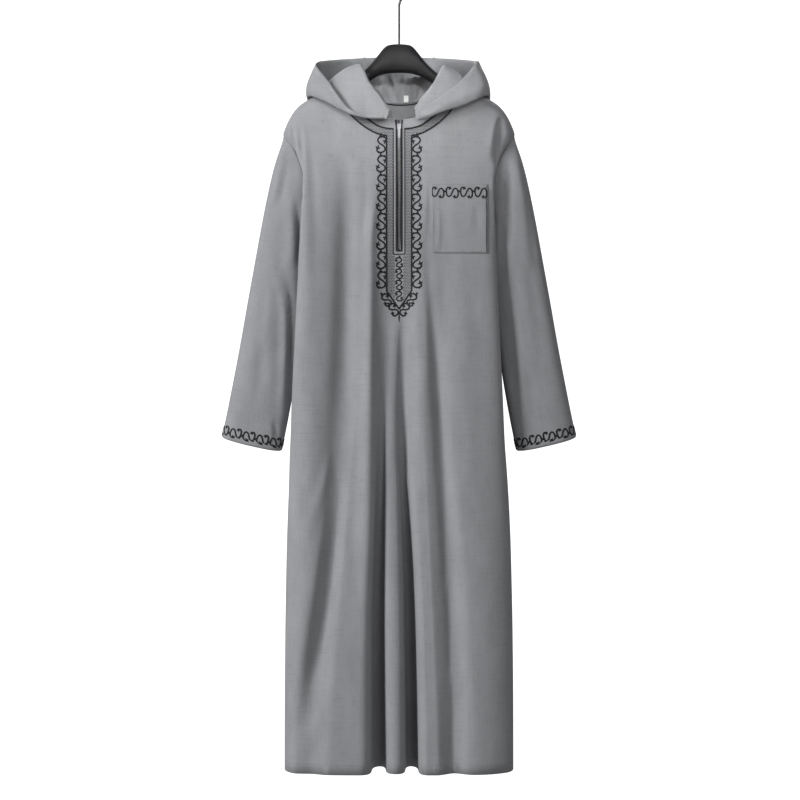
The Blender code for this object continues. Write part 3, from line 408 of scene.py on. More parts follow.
SLEEVE_BACK_FOLDS = (
    ((0.222, -0.380), (0.236, -0.560), 0.0080, -0.0038),
    ((0.258, -0.500), (0.222, -0.680), 0.0080, -0.0032),
    ((0.244, -0.640), (0.266, -0.920), 0.0100, 0.0030),
    ((0.290, -0.720), (0.300, -0.880), 0.0120, -0.0020),
)
SLEEVE_ANGLE, ARMHOLE_FOOT_Z = math.radians(15), -0.62
ARMHOLE_UNDER, ARMHOLE_NARROWING, ARMHOLE_DOWN = 0.010, 0.15, 0.002


def turned_in(side):
    """Turns the sleeve's top edge in under the body's panels, as its seam allowance."""

    def tuck(form):
        top = [e for e in form.edges if e.is_boundary and all(v.co.z > ARMHOLE_FOOT_Z for v in e.verts)]
        made = bmesh.ops.extrude_edge_only(form, edges=top)["geom"]
        for vert in made:
            if isinstance(vert, bmesh.types.BMVert):
                vert.co += Vector((-side * ARMHOLE_UNDER, -ARMHOLE_NARROWING * vert.co.y, -ARMHOLE_DOWN))
        for edge in top:
            edge.smooth = False

    return tuck


sleeves = {}
for node, side, folds in (("sleeve_left", -1, LEFT_SLEEVE_FOLDS), ("sleeve_right", 1, RIGHT_SLEEVE_FOLDS)):
    low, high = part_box(node)
    behind = [((side * x0, z0), (side * x1, z1), *rest) for (x0, z0), (x1, z1), *rest in SLEEVE_BACK_FOLDS]
    sleeves[node] = cloth_panel(
        node, (Vector(low) + Vector(high)) / 2, folds, behind,
        longest=0.012, turn=side * SLEEVE_ANGLE, tuck=turned_in(side),
    )

# Hood. Three pieces, two sides and a strip between them; it lies back over the shoulders, unworn, and
# its face edge is hemmed. The strip's seam allowances are turned under the sides.
HOOD_FOLDS = (
    ((-0.118, -0.170), (-0.104, -0.262), 0.0080, -0.0020),
    ((-0.070, -0.205), (-0.050, -0.275), 0.0070, 0.0016),
    ((-0.052, -0.230), (-0.030, -0.290), 0.0050, -0.0014),
    ((0.112, -0.200), (0.078, -0.268), 0.0070, -0.0018),
    ((0.150, -0.205), (0.130, -0.262), 0.0080, 0.0014),
    ((0.058, -0.240), (0.034, -0.292), 0.0050, -0.0014),
)
HOOD_BACK_FOLDS = (
    ((-0.120, -0.215), (-0.060, -0.360), 0.0110, -0.0030),
    ((0.110, -0.220), (0.066, -0.350), 0.0110, -0.0026),
    ((-0.040, -0.180), (-0.014, -0.258), 0.0060, -0.0050),
    ((-0.020, -0.176), (-0.004, -0.258), 0.0045, 0.0052, 0.0),
    ((0.010, -0.178), (0.012, -0.262), 0.0050, 0.0036, 0.0),
    ((0.034, -0.180), (0.026, -0.258), 0.0050, -0.0040),
)
HOOD_SHEETS = (
    ("hood_left", (0.30, 0.36), 0.085),
    ("hood_centre", (0.18, 0.53), 0.074),
    ("hood_right", (0.30, 0.36), 0.084),
)
STRIP_ACROSS, STRIP_MIDDLE_X, STRIP_OUT, STRIP_UNDER, STRIP_RIM = 0.6, 0.02, 0.0036, 0.0042, 0.0022


def strip_allowance(form):
    """Turns the strip's two long edges under the sides of the hood."""
    seams = [
        e for e in form.edges
        if e.is_boundary and abs(e.verts[0].co.x - e.verts[1].co.x) < STRIP_ACROSS * e.calc_length()
        and min(abs(v.co.x) for v in e.verts) > STRIP_MIDDLE_X
    ]
    form.normal_update()
    made = bmesh.ops.extrude_edge_only(form, edges=seams)["geom"]
    for vert in made:
        if isinstance(vert, bmesh.types.BMVert):
            vert.co += Vector((math.copysign(STRIP_OUT, vert.co.x), 0, 0)) - vert.normal * STRIP_UNDER


hoods = []
for node, flat, area in HOOD_SHEETS:
    low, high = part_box(node)
    middle = (Vector(low) + Vector(high)) / 2
    extra = {"tuck": strip_allowance, "rim_width": STRIP_RIM} if node == "hood_centre" else {}
    hoods.append(cloth_panel(node, middle, HOOD_FOLDS, HOOD_BACK_FOLDS, longest=0.012, **extra))

# Chest pocket. One patch of the same cloth, hemmed along its top and topstitched to the front on the
# wearer's left, a little puckered by the sewing.
POCKET_FOLDS = (
    ((0.112, -0.4745), (0.136, -0.4790), 0.0040, -0.0016),
    ((0.156, -0.4800), (0.158, -0.5450), 0.0080, -0.0016),
    ((0.079, -0.4850), (0.080, -0.5700), 0.0050, 0.0012),
    ((0.074, -0.5700), (0.108, -0.5735), 0.0030, -0.0012),
    ((0.100, -0.4900), (0.124, -0.5600), 0.0120, 0.0010),
)
POCKET_CENTRE, POCKET_THICKNESS = Vector((0.12, 0, -0.5)), 0.0008
pocket = cloth_panel(
    "pocket", POCKET_CENTRE, front_folds=POCKET_FOLDS, longest=0.006, thickness=POCKET_THICKNESS
)

# Topstitching. Grey sewing thread a little lighter than the cloth: short stitches 3 mm long, in rows beside
# the hem, the pocket's edges and the hood's face edge.
STITCH_LENGTH, STITCH_GAP, STITCH_WIDTH, STITCH_LIFT = 0.0032, 0.0013, 0.0008, 0.3
STITCH_TAPER = ((0.0, 0.4), (0.5, 1.0), (1.0, 0.4))
HEM_INSET, POCKET_INSET, HOOD_INSET = 0.020, 0.0022, 0.012
HEM_EDGE_Z, POCKET_TOP_Z, FACE_RADII, STRIP_SEAM = -1.6225, -0.440, (0.108, 0.068), (0.095, -0.165)
ENLARGED = 100


def slanting_ribs(material, scale, distortion, detail=2.0):
    """Stripes that slant across the object, a little uneven."""
    return add(
        material, "ShaderNodeTexWave", [("Vector", add(material, "ShaderNodeTexCoord"), "Object")],
        wave_type="BANDS", bands_direction="DIAGONAL", Scale=scale, Distortion=distortion, Detail=detail,
    )


def finish_pattern(material, shader, pattern, stops, strength, depth):
    """Colours the shader along a pattern, between the stops, and raises its surface by the same one."""
    colour = ramp(material, pattern, "Fac", stops)
    finish_shader(material, shader, (colour, "Color"), (pattern, "Fac"), strength, depth)


def sewing_thread():
    """Spun polyester thread: dull, with a slight twist that shows as a fine slanting ripple."""
    material, shader = new_material("grey_sewing_thread", roughness=0.7)
    twist = slanting_ribs(material, 500.0, 1.0)
    finish_pattern(material, shader, twist, ((0.0, "#78797b"), (1.0, "#949598")), 0.3, 0.0001)
    return material


def edge_rows(sheet, inset, wanted):
    """Lines on a sheet, a little way in from its open edges where wanted is true of both ends."""
    form = bmesh.new()
    form.from_mesh(sheet.data)
    form.normal_update()
    skin = BVHTree.FromBMesh(form)
    waiting = {e for e in form.edges if e.is_boundary and all(wanted(v.co) for v in e.verts)}
    rows = []
    while waiting:
        chain = list(waiting.pop().verts)
        for forwards in (True, False):
            while True:
                end = chain[-1] if forwards else chain[0]
                following = next((e for e in end.link_edges if e in waiting), None)
                if following is None:
                    break
                waiting.discard(following)
                chain.insert(len(chain) if forwards else 0, following.other_vert(end))
        row = []
        for k, vert in enumerate(chain):
            tangent = (chain[min(k + 1, len(chain) - 1)].co - chain[max(k - 1, 0)].co).normalized()
            centres = [face.calc_center_median() for face in vert.link_faces]
            inward = sum(centres, Vector()) / len(centres) - vert.co
            inward -= tangent * inward.dot(tangent)
            hit, normal, _, _ = skin.find_nearest(vert.co + inward.normalized() * inset)
            row.append((hit, normal))
        rows.append(row)
    form.free()
    return rows


def thread_form(splines, sides):
    """Round thread along splines of (x, y, z, width), as a bmesh; it is so fine that it is made enlarged."""
    drawn = bpy.data.curves.new("thread", "CURVE")
    drawn.dimensions = "3D"
    drawn.bevel_depth = 0.5
    drawn.bevel_resolution = sides
    drawn.use_fill_caps = True
    for line in splines:
        spline = drawn.splines.new("POLY")
        spline.points.add(len(line) - 1)
        for point, (x, y, z, width) in zip(spline.points, line):
            point.co = (x * ENLARGED, y * ENLARGED, z * ENLARGED, 1)
            point.radius = width * ENLARGED
    holder = bpy.data.objects.new("thread", drawn)
    scene.collection.objects.link(holder)
    form = worked_in(holder)
    bpy.data.curves.remove(drawn)
    bmesh.ops.remove_doubles(form, verts=form.verts, dist=0.0005)
    bmesh.ops.scale(form, verts=form.verts, vec=[1 / ENLARGED] * 3)
    return form


def stitches(name, rows, material):
    """Short stitches along rows of (point, normal)."""
    splines = []
    for row in rows:
        lengths = [0.0]
        for one, two in zip(row, row[1:]):
            lengths.append(lengths[-1] + (two[0] - one[0]).length)
        start, k = STITCH_GAP, 0
        while start + STITCH_LENGTH < lengths[-1]:
            line = []
            for share, width in STITCH_TAPER:
                at = start + share * STITCH_LENGTH
                while lengths[k + 1] < at:
                    k += 1
                part = (at - lengths[k]) / (lengths[k + 1] - lengths[k])
                point = row[k][0].lerp(row[k + 1][0], part) + row[k][1] * STITCH_WIDTH * STITCH_LIFT
                line.append((*point, STITCH_WIDTH * width))
            splines.append(line)
            start += STITCH_LENGTH + STITCH_GAP
    return new_object(name, thread_form(splines, 0), material)


def near_hem(point):
    return point.z < HEM_EDGE_Z


def near_pocket_edge(point):
    return point.z < POCKET_TOP_Z


def near_face_edge(point):
    """True off the hood's neck seam, which is about an ellipse, and off the strip's seams."""
    strip_seam = abs(point.x) < STRIP_SEAM[0] and point.z < STRIP_SEAM[1]
    return (point.x / FACE_RADII[0]) ** 2 + (point.y / FACE_RADII[1]) ** 2 > 1 and not strip_seam


SEWING_THREAD = sewing_thread()
stitches("front_hem_stitches", edge_rows(front_cloth, HEM_INSET, near_hem), SEWING_THREAD)
stitches("back_hem_stitches", edge_rows(back_cloth, HEM_INSET, near_hem), SEWING_THREAD)
stitches("pocket_stitches", edge_rows(pocket, POCKET_INSET, near_pocket_edge), SEWING_THREAD)
hood_rows = [row for hood in hoods for row in edge_rows(hood, HOOD_INSET, near_face_edge)]
stitches("hood_edge_stitches", hood_rows, SEWING_THREAD)

# Embroidery. Black rayon thread in dense satin stitch, about 1 mm proud of the cloth. Each line is drawn
# flat and then laid on the sheet that it is sewn to.
LINE_WIDTH, LINE_HEIGHT, LINE_LIFT = 0.0036, 0.0010, 0.25
VIEWER_Y, SHEET_Y, AWAY = -0.5, -0.06, Vector((0, 1, 0))


def black_thread():
    """Black rayon embroidery thread: a soft gloss across stitches that lie about 0.5 mm apart."""
    material, shader = new_material("black_rayon_thread", roughness=0.55)
    stitch = slanting_ribs(material, 320.0, 1.5, detail=1.0)
    finish_pattern(material, shader, stitch, ((0.0, "#060607"), (1.0, "#151517")), 0.4, 0.0002)
    shader.inputs["Specular IOR Level"].default_value = 0.3
    return material


BLACK_THREAD = black_thread()


def tree_of(sheet):
    """A sheet's outer skin, ready to have things laid on it."""
    form = bmesh.new()
    form.from_mesh(sheet.data)
    tree = BVHTree.FromBMesh(form)
    form.free()
    return tree


def on_sheet_front(sheet):
    """Places a point drawn as x, z and lift on a sheet that faces the viewer."""
    tree = tree_of(sheet)

    def place(x, z, lift):
        hit, normal, _, _ = tree.ray_cast(Vector((x, VIEWER_Y, z)), AWAY, 1.0)
        if hit is None:
            hit, normal, _, _ = tree.find_nearest(Vector((x, SHEET_Y, z)))
        if normal.y > 0:
            normal = -normal
        return hit + normal * lift

    return place


def thread_lines(name, lines, place, height=LINE_HEIGHT):
    """Raised thread from flat lines of (x, z, width), laid on the cloth by place."""
    form = thread_form([[(x, z, 0.0, width) for x, z, width in line] for line in lines], 1)
    for vert in form.verts:
        x, z, up = vert.co
        vert.co = place(x, z, up * 2 * height / LINE_WIDTH + LINE_LIFT * height)
    return new_object(name, form, BLACK_THREAD)


def along_line(points, step=0.004, width=LINE_WIDTH):
    """A line through the points, with one about every step."""
    line = []
    for one, two in zip(points, points[1:]):
        one, two = Vector(one), Vector(two)
        count = max(1, round((two - one).length / step))
        line += [(*one.lerp(two, k / count), width) for k in range(count)]
    return line + [(*points[-1], width)]


def smooth_line(points, steps=6, width=LINE_WIDTH):
    """A smooth line through the points."""
    line = []
    ends = [points[0], *points, points[-1]]
    for k in range(1, len(ends) - 2):
        before, one, two, after = (Vector(ends[k + j]) for j in (-1, 0, 1, 2))
        for step in range(steps):
            t = step / steps
            place = (
                one * (2 * t**3 - 3 * t**2 + 1) + (two - before) / 2 * (t**3 - 2 * t**2 + t)
                + two * (3 * t**2 - 2 * t**3) + (after - one) / 2 * (t**3 - t**2)
            )
            line.append((*place, width))
    return line + [(*points[-1], width)]


SCROLL_LEAN, SCROLL_TURN, SCROLL_SPEED, SCROLL_STEPS = math.radians(40), 4.7, 1.5, 20
SCROLL_SHARE, SCROLL_THREAD, LINK_THREAD = 0.82, 0.0034, 0.7
# Leaves: their reach on a scroll of LEAF_SCROLL length, their turns and reaches in a tuft, and their taper
LEAF_REACH, STEM_LEAF_REACH, LEAF_SCROLL, STEM_LEAF_WAY = 0.0080, 0.0036, 0.040, Vector((0.2, 1.0))
LEAF_TUFT = ((-1.25, 0.75), (-0.15, 1.0), (0.95, 0.75))
LEAF_TAPER = ((0.0, 0.4), (0.3, 0.95), (0.65, 0.80), (1.0, 0.15))
SCROLL_LINKS = ((0.45, -0.05), (-0.05, 0.40))


def scroll(width, length, hand=1, thickness=SCROLL_THREAD):
    """One S-shaped scroll with a tuft of three leaves in each curl, and the twist that links it to the next.

    It is drawn about its middle: x runs across the border and y along it."""
    half = [Vector((0, 0))]
    for k in range(SCROLL_STEPS):
        heading = SCROLL_LEAN + SCROLL_TURN * ((k + 0.5) / SCROLL_STEPS) ** SCROLL_SPEED
        half.append(half[-1] + Vector((math.cos(heading), math.sin(heading))) / SCROLL_STEPS)
    reach_x, reach_y = max(abs(point.x) for point in half), max(abs(point.y) for point in half)
    size = Vector((width / 2 / reach_x, SCROLL_SHARE * length / 2 / reach_y))

    def drawn(point, thick):
        return (hand * point.x * size.x, point.y * size.y, thick)

    def leaf(root, way, reach):
        """One pointed leaf from its root, as a short fat stitch that tapers to its tip."""
        tip = Vector((way.x * reach / size.x, way.y * reach / size.y))
        return [drawn(root + tip * share, thickness * wide) for share, wide in LEAF_TAPER]

    stem = [-point for point in half[:0:-1]] + half
    lines = [[drawn(point, thickness) for point in stem]]
    scale = length / LEAF_SCROLL
    for sign in (1, -1):
        tip_way = Vector((math.cos(heading), math.sin(heading))) * sign
        for turn, reach in LEAF_TUFT:
            way = Matrix.Rotation(turn, 2) @ tip_way
            lines.append(leaf(half[-1] * sign, way, LEAF_REACH * reach * scale))
        lines.append(leaf(half[SCROLL_STEPS * 3 // 4] * sign, STEM_LEAF_WAY * sign, STEM_LEAF_REACH * scale))
    gap = 1 / SCROLL_SHARE
    for start, end in SCROLL_LINKS:
        link = [Vector((start * reach_x, reach_y)), Vector((end * reach_x, (2 * gap - 1.0) * reach_y))]
        lines.append([drawn(point, thickness * LINK_THREAD) for point in link])
    return lines


def moved(lines, x, z, turn=0.0):
    """The lines turned and set with their middle at a place."""
    cosine, sine = math.cos(turn), math.sin(turn)
    return [[(x + a * cosine - b * sine, z + a * sine + b * cosine, w) for a, b, w in line] for line in lines]


# Neck seam. The hood is sewn to the back of the neck; inside, the seam's shadow is painted as one thin dark
# curved line, made of the black embroidery thread.
NECK_SEAM = ((-0.0430, -0.2530), (-0.0180, -0.2590), (0.0063, -0.2605), (0.0320, -0.2580), (0.0560, -0.2510))
NECK_SEAM_WIDTH, NECK_MIDDLE_Y, NECK_DEPTH = 0.0024, -0.02, 0.3
inside_trees = [tree_of(sheet) for sheet in (*hoods, back_cloth)]


def on_neck_inside(x, z, lift):
    """Places a point on the first cloth behind the neck opening."""
    start = Vector((x, NECK_MIDDLE_Y, z))
    hits = [tree.ray_cast(start, AWAY, NECK_DEPTH)[0] for tree in inside_trees]
    nearest = min((hit for hit in hits if hit is not None), key=lambda hit: hit.y)
    return nearest - Vector((0, CLOTH_THICKNESS + lift, 0))


# Painted shadow: a thin black line laid where the neck seam casts its shade.
thread_lines("neck_seam_painted_shadow", [smooth_line(NECK_SEAM, width=NECK_SEAM_WIDTH)], on_neck_inside)

# Placket and neck embroidery. Two outlines run round the neck and down each side of the zip and close below
# it in a point; scrolls climb along the outer one, and a vine fills the foot.
BAND_X, BAND_BOTTOM_Z, POINT_Z = 0.0254, -0.6550, -0.6915
BOX_X, BOX_BOTTOM_Z, BOX_WIDTH = 0.0118, -0.5810, 0.0021
NECK_INNER = (
    (0.0118, -0.3255), (0.0274, -0.3238), (0.0443, -0.3182),
    (0.0623, -0.3058), (0.0790, -0.2920), (0.0930, -0.2780),
)
NECK_OUTER = (
    (0.0254, -0.3395), (0.0428, -0.3356), (0.0597, -0.3273),
    (0.0792, -0.3137), (0.0995, -0.2944), (0.1080, -0.2820),
)
BORDER_X, BORDER_TOP_Z, BORDER_SCROLLS, BORDER_WIDTH, BORDER_MIDDLE = 0.0356, -0.3405, 8, 0.0190, 0.44
# The point's two scrolls on each side: their size, and the slanting run that they stand along
POINT_WIDTH, POINT_LENGTH, POINT_FIRST, POINT_SPACES = 0.0150, 0.030, 0.62, 2.25
POINT_OUT, POINT_IN, POINT_DROP, POINT_RUN = 0.0095, 0.002, 0.006, 0.0445
VINE_WIDTH, VINE_PITCH, VINE_THREAD, VINE_TOP_Z, VINE_SCROLLS = 0.0130, 0.0228, 0.0028, -0.5975, 4
VINE_TIP = [(0, -0.7000, 0.0012), (0, -0.7080, 0.0034), (0, -0.7185, 0.0008)]
place_front = on_sheet_front(front_cloth)
outlines = []
for side in (-1, 1):
    inner = [(side * x, z) for x, z in NECK_INNER]
    outer = [(side * x, z) for x, z in NECK_OUTER]
    beside_zip = along_line([inner[0], (side * BOX_X, BOX_BOTTOM_Z)], width=BOX_WIDTH)
    beside_band = along_line([outer[0], (side * BAND_X, BAND_BOTTOM_Z), (0, POINT_Z)])
    outlines += [smooth_line(inner[::-1]) + beside_zip[1:], smooth_line(outer[::-1]) + beside_band[1:]]
outlines.append(along_line([(-BOX_X, BOX_BOTTOM_Z), (BOX_X, BOX_BOTTOM_Z)], width=BOX_WIDTH))
placket = [thread_lines("placket_outlines", outlines, place_front)]

border = []
pitch = (BORDER_TOP_Z - BAND_BOTTOM_Z) / BORDER_SCROLLS
for side in (-1, 1):
    for k in range(BORDER_SCROLLS):
        z = BORDER_TOP_Z - pitch * (k + BORDER_MIDDLE)
        border += moved(scroll(BORDER_WIDTH, pitch, hand=side), side * BORDER_X, z)
    slant = math.atan2(BAND_X, BAND_BOTTOM_Z - POINT_Z)
    for k in range(2):
        share = (k + POINT_FIRST) / POINT_SPACES
        x = side * ((BAND_X + POINT_OUT) * (1 - share) + POINT_IN * share)
        z = BAND_BOTTOM_Z - POINT_DROP - share * POINT_RUN
        border += moved(scroll(POINT_WIDTH, POINT_LENGTH, hand=side), x, z, side * -slant)
placket.append(thread_lines("placket_scrolls", border, place_front))

vine = []
for k in range(VINE_SCROLLS):
    vine += moved(scroll(VINE_WIDTH, VINE_PITCH, thickness=VINE_THREAD), 0.0, VINE_TOP_Z - VINE_PITCH * k)
placket.append(thread_lines("placket_vine", [*vine, VINE_TIP], place_front))

# Seed stitches. The band between the outlines is filled with short slanting stitches of the same black
# thread, in rows that lean this way and that like a net.
SEED_STEP, SEED_LENGTH, SEED_WIDTH, SEED_HEIGHT, SEED_LEAN = 0.0030, 0.0026, 0.0011, 0.0007, 0.9
SEED_TOP_Z, SEED_BOTTOM_Z, SEED_COLUMNS, VINE_CLEAR_X = -0.27, -0.70, 36, 0.0090
# How far the filling keeps from the outlines, and where it ends round the neck
BAND_MARGIN, POINT_MARGIN, BOX_MARGIN, TOP_MARGIN, NECK_END_X = 0.002, 0.003, 0.001, 0.0015, 0.103


def inside_band(x, z):
    """True where the placket and neck band are filled."""
    across = abs(x)
    if z < NECK_INNER[0][1]:
        if z < BAND_BOTTOM_Z:
            return across < (z - POINT_Z) / (BAND_BOTTOM_Z - POINT_Z) * BAND_X - POINT_MARGIN
        if z < BOX_BOTTOM_Z - BAND_MARGIN:
            return across < BAND_X - BAND_MARGIN
        if z < NECK_OUTER[0][1] - BOX_MARGIN:
            return BOX_X + BOX_MARGIN < across < BAND_X - BAND_MARGIN
    if across < BOX_X + BOX_MARGIN:
        return False
    heights = []
    for edge in (NECK_INNER, NECK_OUTER):
        xs, zs = [point[0] for point in edge], [point[1] for point in edge]
        k = max([0] + [k for k in range(len(xs) - 1) if xs[k] <= across])
        share = (across - xs[k]) / (xs[k + 1] - xs[k])
        heights.append(zs[k] + (zs[k + 1] - zs[k]) * (share if k else max(share, 0.0)))
    if across < NECK_OUTER[0][0]:
        heights[1] = -1.0
    return across < NECK_END_X and heights[1] + BAND_MARGIN < z < heights[0] - TOP_MARGIN


seeds = []
for row in range(round((SEED_TOP_Z - SEED_BOTTOM_Z) / SEED_STEP)):
    for column in range(-SEED_COLUMNS, SEED_COLUMNS + 1):
        x = (column + 0.5 * (row % 2)) * SEED_STEP
        z = SEED_TOP_Z - row * SEED_STEP
        near_vine = z < BOX_BOTTOM_Z and abs(x) < VINE_CLEAR_X
        if inside_band(x, z) and not near_vine:
            lean = SEED_LEAN if (row + column) % 2 else -SEED_LEAN
            dx, dz = SEED_LENGTH / 2 * math.sin(lean), SEED_LENGTH / 2 * math.cos(lean)
            seeds.append([(x - dx, z - dz, SEED_WIDTH), (x + dx, z + dz, SEED_WIDTH)])
placket.append(thread_lines("placket_seed_stitches", seeds, place_front, height=SEED_HEIGHT))

# Pocket band. The same scroll, in the same thread, is worked along the top of the pocket before the pocket
# is sewn on, with a fine line down its outer end.
POCKET_SCROLLS, POCKET_START_X, POCKET_PITCH, POCKET_BAND_Z = 4, 0.0785, 0.0290, -0.4560
POCKET_BAND_WIDTH, POCKET_THREAD, LYING = 0.0215, 0.0030, math.radians(-90)
POCKET_LINE, POCKET_LINE_WIDTH = ((0.1765, -0.4420), (0.1765, -0.5760)), 0.0010
pocket_band = []
for k in range(POCKET_SCROLLS):
    middle = (POCKET_START_X + POCKET_PITCH * k, POCKET_BAND_Z)
    lying = scroll(POCKET_BAND_WIDTH, POCKET_PITCH, hand=-1, thickness=POCKET_THREAD)
    pocket_band += moved(lying, *middle, LYING)
pocket_band.append(along_line(POCKET_LINE, width=POCKET_LINE_WIDTH))
thread_lines("pocket_scrolls", pocket_band, on_sheet_front(pocket))

# Cuff bands. The same scroll runs all round each cuff, worked in black thread on the sleeve's outside close
# to its edge, before the sleeve's seam is closed.
CUFF_BAND_MIDDLE, CUFF_BAND_WIDTH, CUFF_SCROLLS, CUFF_LENGTH, CUFF_THREAD = 0.0120, 0.0200, 11, 0.290, 0.0032
RING_SAMPLES, RING_COUNT, RING_STEP = 144, 7, 0.006
# The cuff is felt for from outside, and where that misses, from just inside
OUTSIDE, REACH, INSIDE = 0.15, 0.2, 0.04
CUFF_OUTER, CUFF_INNER = Vector((0.3648, 0, -0.9494)), Vector((0.2415, 0, -0.9780))


def round_sleeve(sleeve, side):
    """Places a point drawn round the cuff: x is the length round it and z the height above it."""
    tree = tree_of(sleeve)
    outer, inner = (Vector((side * point.x, 0, point.z)) for point in (CUFF_OUTER, CUFF_INNER))
    middle, across = (outer + inner) / 2, (outer - inner).normalized()
    up = Vector((-across.z, 0, across.x)) * (1 if across.x > 0 else -1)
    rings = []
    for level in range(RING_COUNT):
        ring, centre = [], middle + up * (level * RING_STEP)
        for k in range(RING_SAMPLES + 1):
            turn = 2 * math.pi * k / RING_SAMPLES
            way = across * math.cos(turn) + Vector((0, -1, 0)) * math.sin(turn)
            hit, normal, _, _ = tree.ray_cast(centre + way * OUTSIDE, -way, REACH)
            if hit is None:
                hit, normal, _, _ = tree.find_nearest(centre + way * INSIDE)
            ring.append((hit, normal if normal.dot(way) > 0 else -normal))
        lengths = [0.0]
        for one, two in zip(ring, ring[1:]):
            lengths.append(lengths[-1] + (two[0] - one[0]).length)
        rings.append((ring, [length / lengths[-1] for length in lengths]))

    def on_ring(level, share):
        ring, shares = rings[level]
        share %= 1.0
        k = next(k for k in range(RING_SAMPLES) if shares[k + 1] >= share)
        part = (share - shares[k]) / max(shares[k + 1] - shares[k], 1e-9)
        return ring[k][0].lerp(ring[k + 1][0], part), ring[k][1].lerp(ring[k + 1][1], part)

    def place(x, height, lift):
        at = min(max(height / RING_STEP, 0.0), RING_COUNT - 1.001)
        low = int(at)
        below, above = on_ring(low, x / CUFF_LENGTH), on_ring(low + 1, x / CUFF_LENGTH)
        point, normal = below[0].lerp(above[0], at - low), below[1].lerp(above[1], at - low)
        return point + normal.normalized() * lift

    return place


for name, side in (("left", -1), ("right", 1)):
    step = CUFF_LENGTH / CUFF_SCROLLS
    band = []
    for k in range(CUFF_SCROLLS):
        middle = (step * (k + 0.5), CUFF_BAND_MIDDLE)
        band += moved(scroll(CUFF_BAND_WIDTH, step, thickness=CUFF_THREAD), *middle, LYING)
    thread_lines(f"cuff_scrolls_{name}", band, round_sleeve(sleeves[f"sleeve_{name}"], side))

# Zip. Two black woven tapes lie behind the slit, each with a row of small metal teeth clamped on its edge. A
# thick black cord is sewn over the cloth down one side, round the foot and up the other. The slider and its
# pull are the CAD nodes.
TAPE_CENTRE, TAPE_THICKNESS = Vector((0, 0.02, -0.45)), 0.0007
CORD_X, CORD_BOTTOM_Z, CORD_WIDTH, CORD_HEIGHT = 0.0050, -0.5735, 0.0042, 0.0016
CORD_TOP_X, CORD_TOP_Z, CORD_BEND_Z = CORD_X + 0.0016, -0.3075, -0.3200
TOOTH_PITCH, TOOTH_WIDTH, TOOTH_HEIGHT, TOOTH_DEPTH = 0.0018, 0.0042, 0.0012, 0.0012
TOOTH_SEAT_X, TOOTH_X, TOOTH_BEVEL = 0.0012, 0.0005, 0.0003
TEETH_TOP_Z, TEETH_BOTTOM_Z = -0.3290, -0.5720


def woven_tape():
    """Black polyester zip tape: a fine twill whose ribs are drawn 1 mm apart."""
    material, shader = new_material("black_twill_tape", roughness=0.8)
    rib = slanting_ribs(material, 300.0, 0.6)
    finish_pattern(material, shader, rib, ((0.0, "#0c0c0d"), (1.0, "#1c1c1e")), 0.4, 0.0002)
    return material


def object_noise(material, scale, detail):
    return noise(material, add(material, "ShaderNodeTexCoord"), "Object", scale, detail)


def uneven_gloss(material, shader, pattern, smooth, rough):
    """Has the shader's roughness follow a pattern."""
    dull = add(
        material, "ShaderNodeMapRange", [("Value", pattern, "Fac")],
        From_Min=0.3, From_Max=0.7, To_Min=smooth, To_Max=rough,
    )
    material.node_tree.links.new(dull.outputs["Result"], shader.inputs["Roughness"])


def nickel_plate(name, light, dark, roughness):
    """Nickel-plated zinc, tumbled: a soft grey shine with fine scuffs that dull it in patches."""
    material, shader = new_material(name, roughness=roughness, metallic=1.0)
    scuffs = object_noise(material, 700.0, 6.0)
    uneven_gloss(material, shader, scuffs, roughness - 0.08, roughness + 0.12)
    finish_pattern(material, shader, scuffs, ((0.3, dark), (0.7, light)), 0.15, 0.0001)
    return material


BLACK_TAPE = woven_tape()
tapes = {}
for node in ("zip_tape_left", "zip_tape_right"):
    form = outer_skin(node, TAPE_CENTRE)
    tapes[node] = new_object(f"{node}_cloth", form, BLACK_TAPE)
    give_wall(tapes[node], TAPE_THICKNESS)
    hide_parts(node)

cord_half = [(CORD_TOP_X, CORD_TOP_Z), (CORD_X, CORD_BEND_Z), (CORD_X, CORD_BOTTOM_Z)]
cord = along_line([(-x, z) for x, z in cord_half] + cord_half[::-1], width=CORD_WIDTH)
placket.append(thread_lines("zip_cords", [cord], place_front, height=CORD_HEIGHT))

place_tooth = on_sheet_front(tapes["zip_tape_right"])
teeth_form = bmesh.new()
for k in range(int((TEETH_TOP_Z - TEETH_BOTTOM_Z) / TOOTH_PITCH)):
    side = 1 if k % 2 else -1
    seat = place_tooth(TOOTH_SEAT_X, TEETH_TOP_Z - TOOTH_PITCH * k, TOOTH_DEPTH / 2)
    place = Matrix.Translation((side * TOOTH_X, seat.y, seat.z))
    size = Matrix.Diagonal((TOOTH_WIDTH, TOOTH_DEPTH, TOOTH_HEIGHT, 1.0))
    bmesh.ops.create_cube(teeth_form, size=1.0, matrix=place @ size)
bmesh.ops.bevel(
    teeth_form, geom=teeth_form.edges[:], offset=TOOTH_BEVEL, affect="EDGES", segments=1, profile=0.5,
    material=-1,
)
teeth_metal = nickel_plate("nickel_plated_teeth", "#a5a5a6", "#808082", 0.42)
teeth = new_object("zip_teeth", teeth_form, teeth_metal)
for polygon in teeth.data.polygons:
    polygon.use_smooth = False

slider_metal = nickel_plate("nickel_plated_zinc", "#a4a4a6", "#7e7e80", 0.46)
for node in ("zip_slider", "zip_pull"):
    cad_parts[node].material_slots[0].material = slider_metal

# Size tab. A small blank label, cut from white satin-woven polyester ribbon and caught in the seam at the
# back of the neck, where it stands up.
TAB_CENTRE, TAB_THICKNESS = Vector((0.0148, 0.20, -0.248)), 0.0006


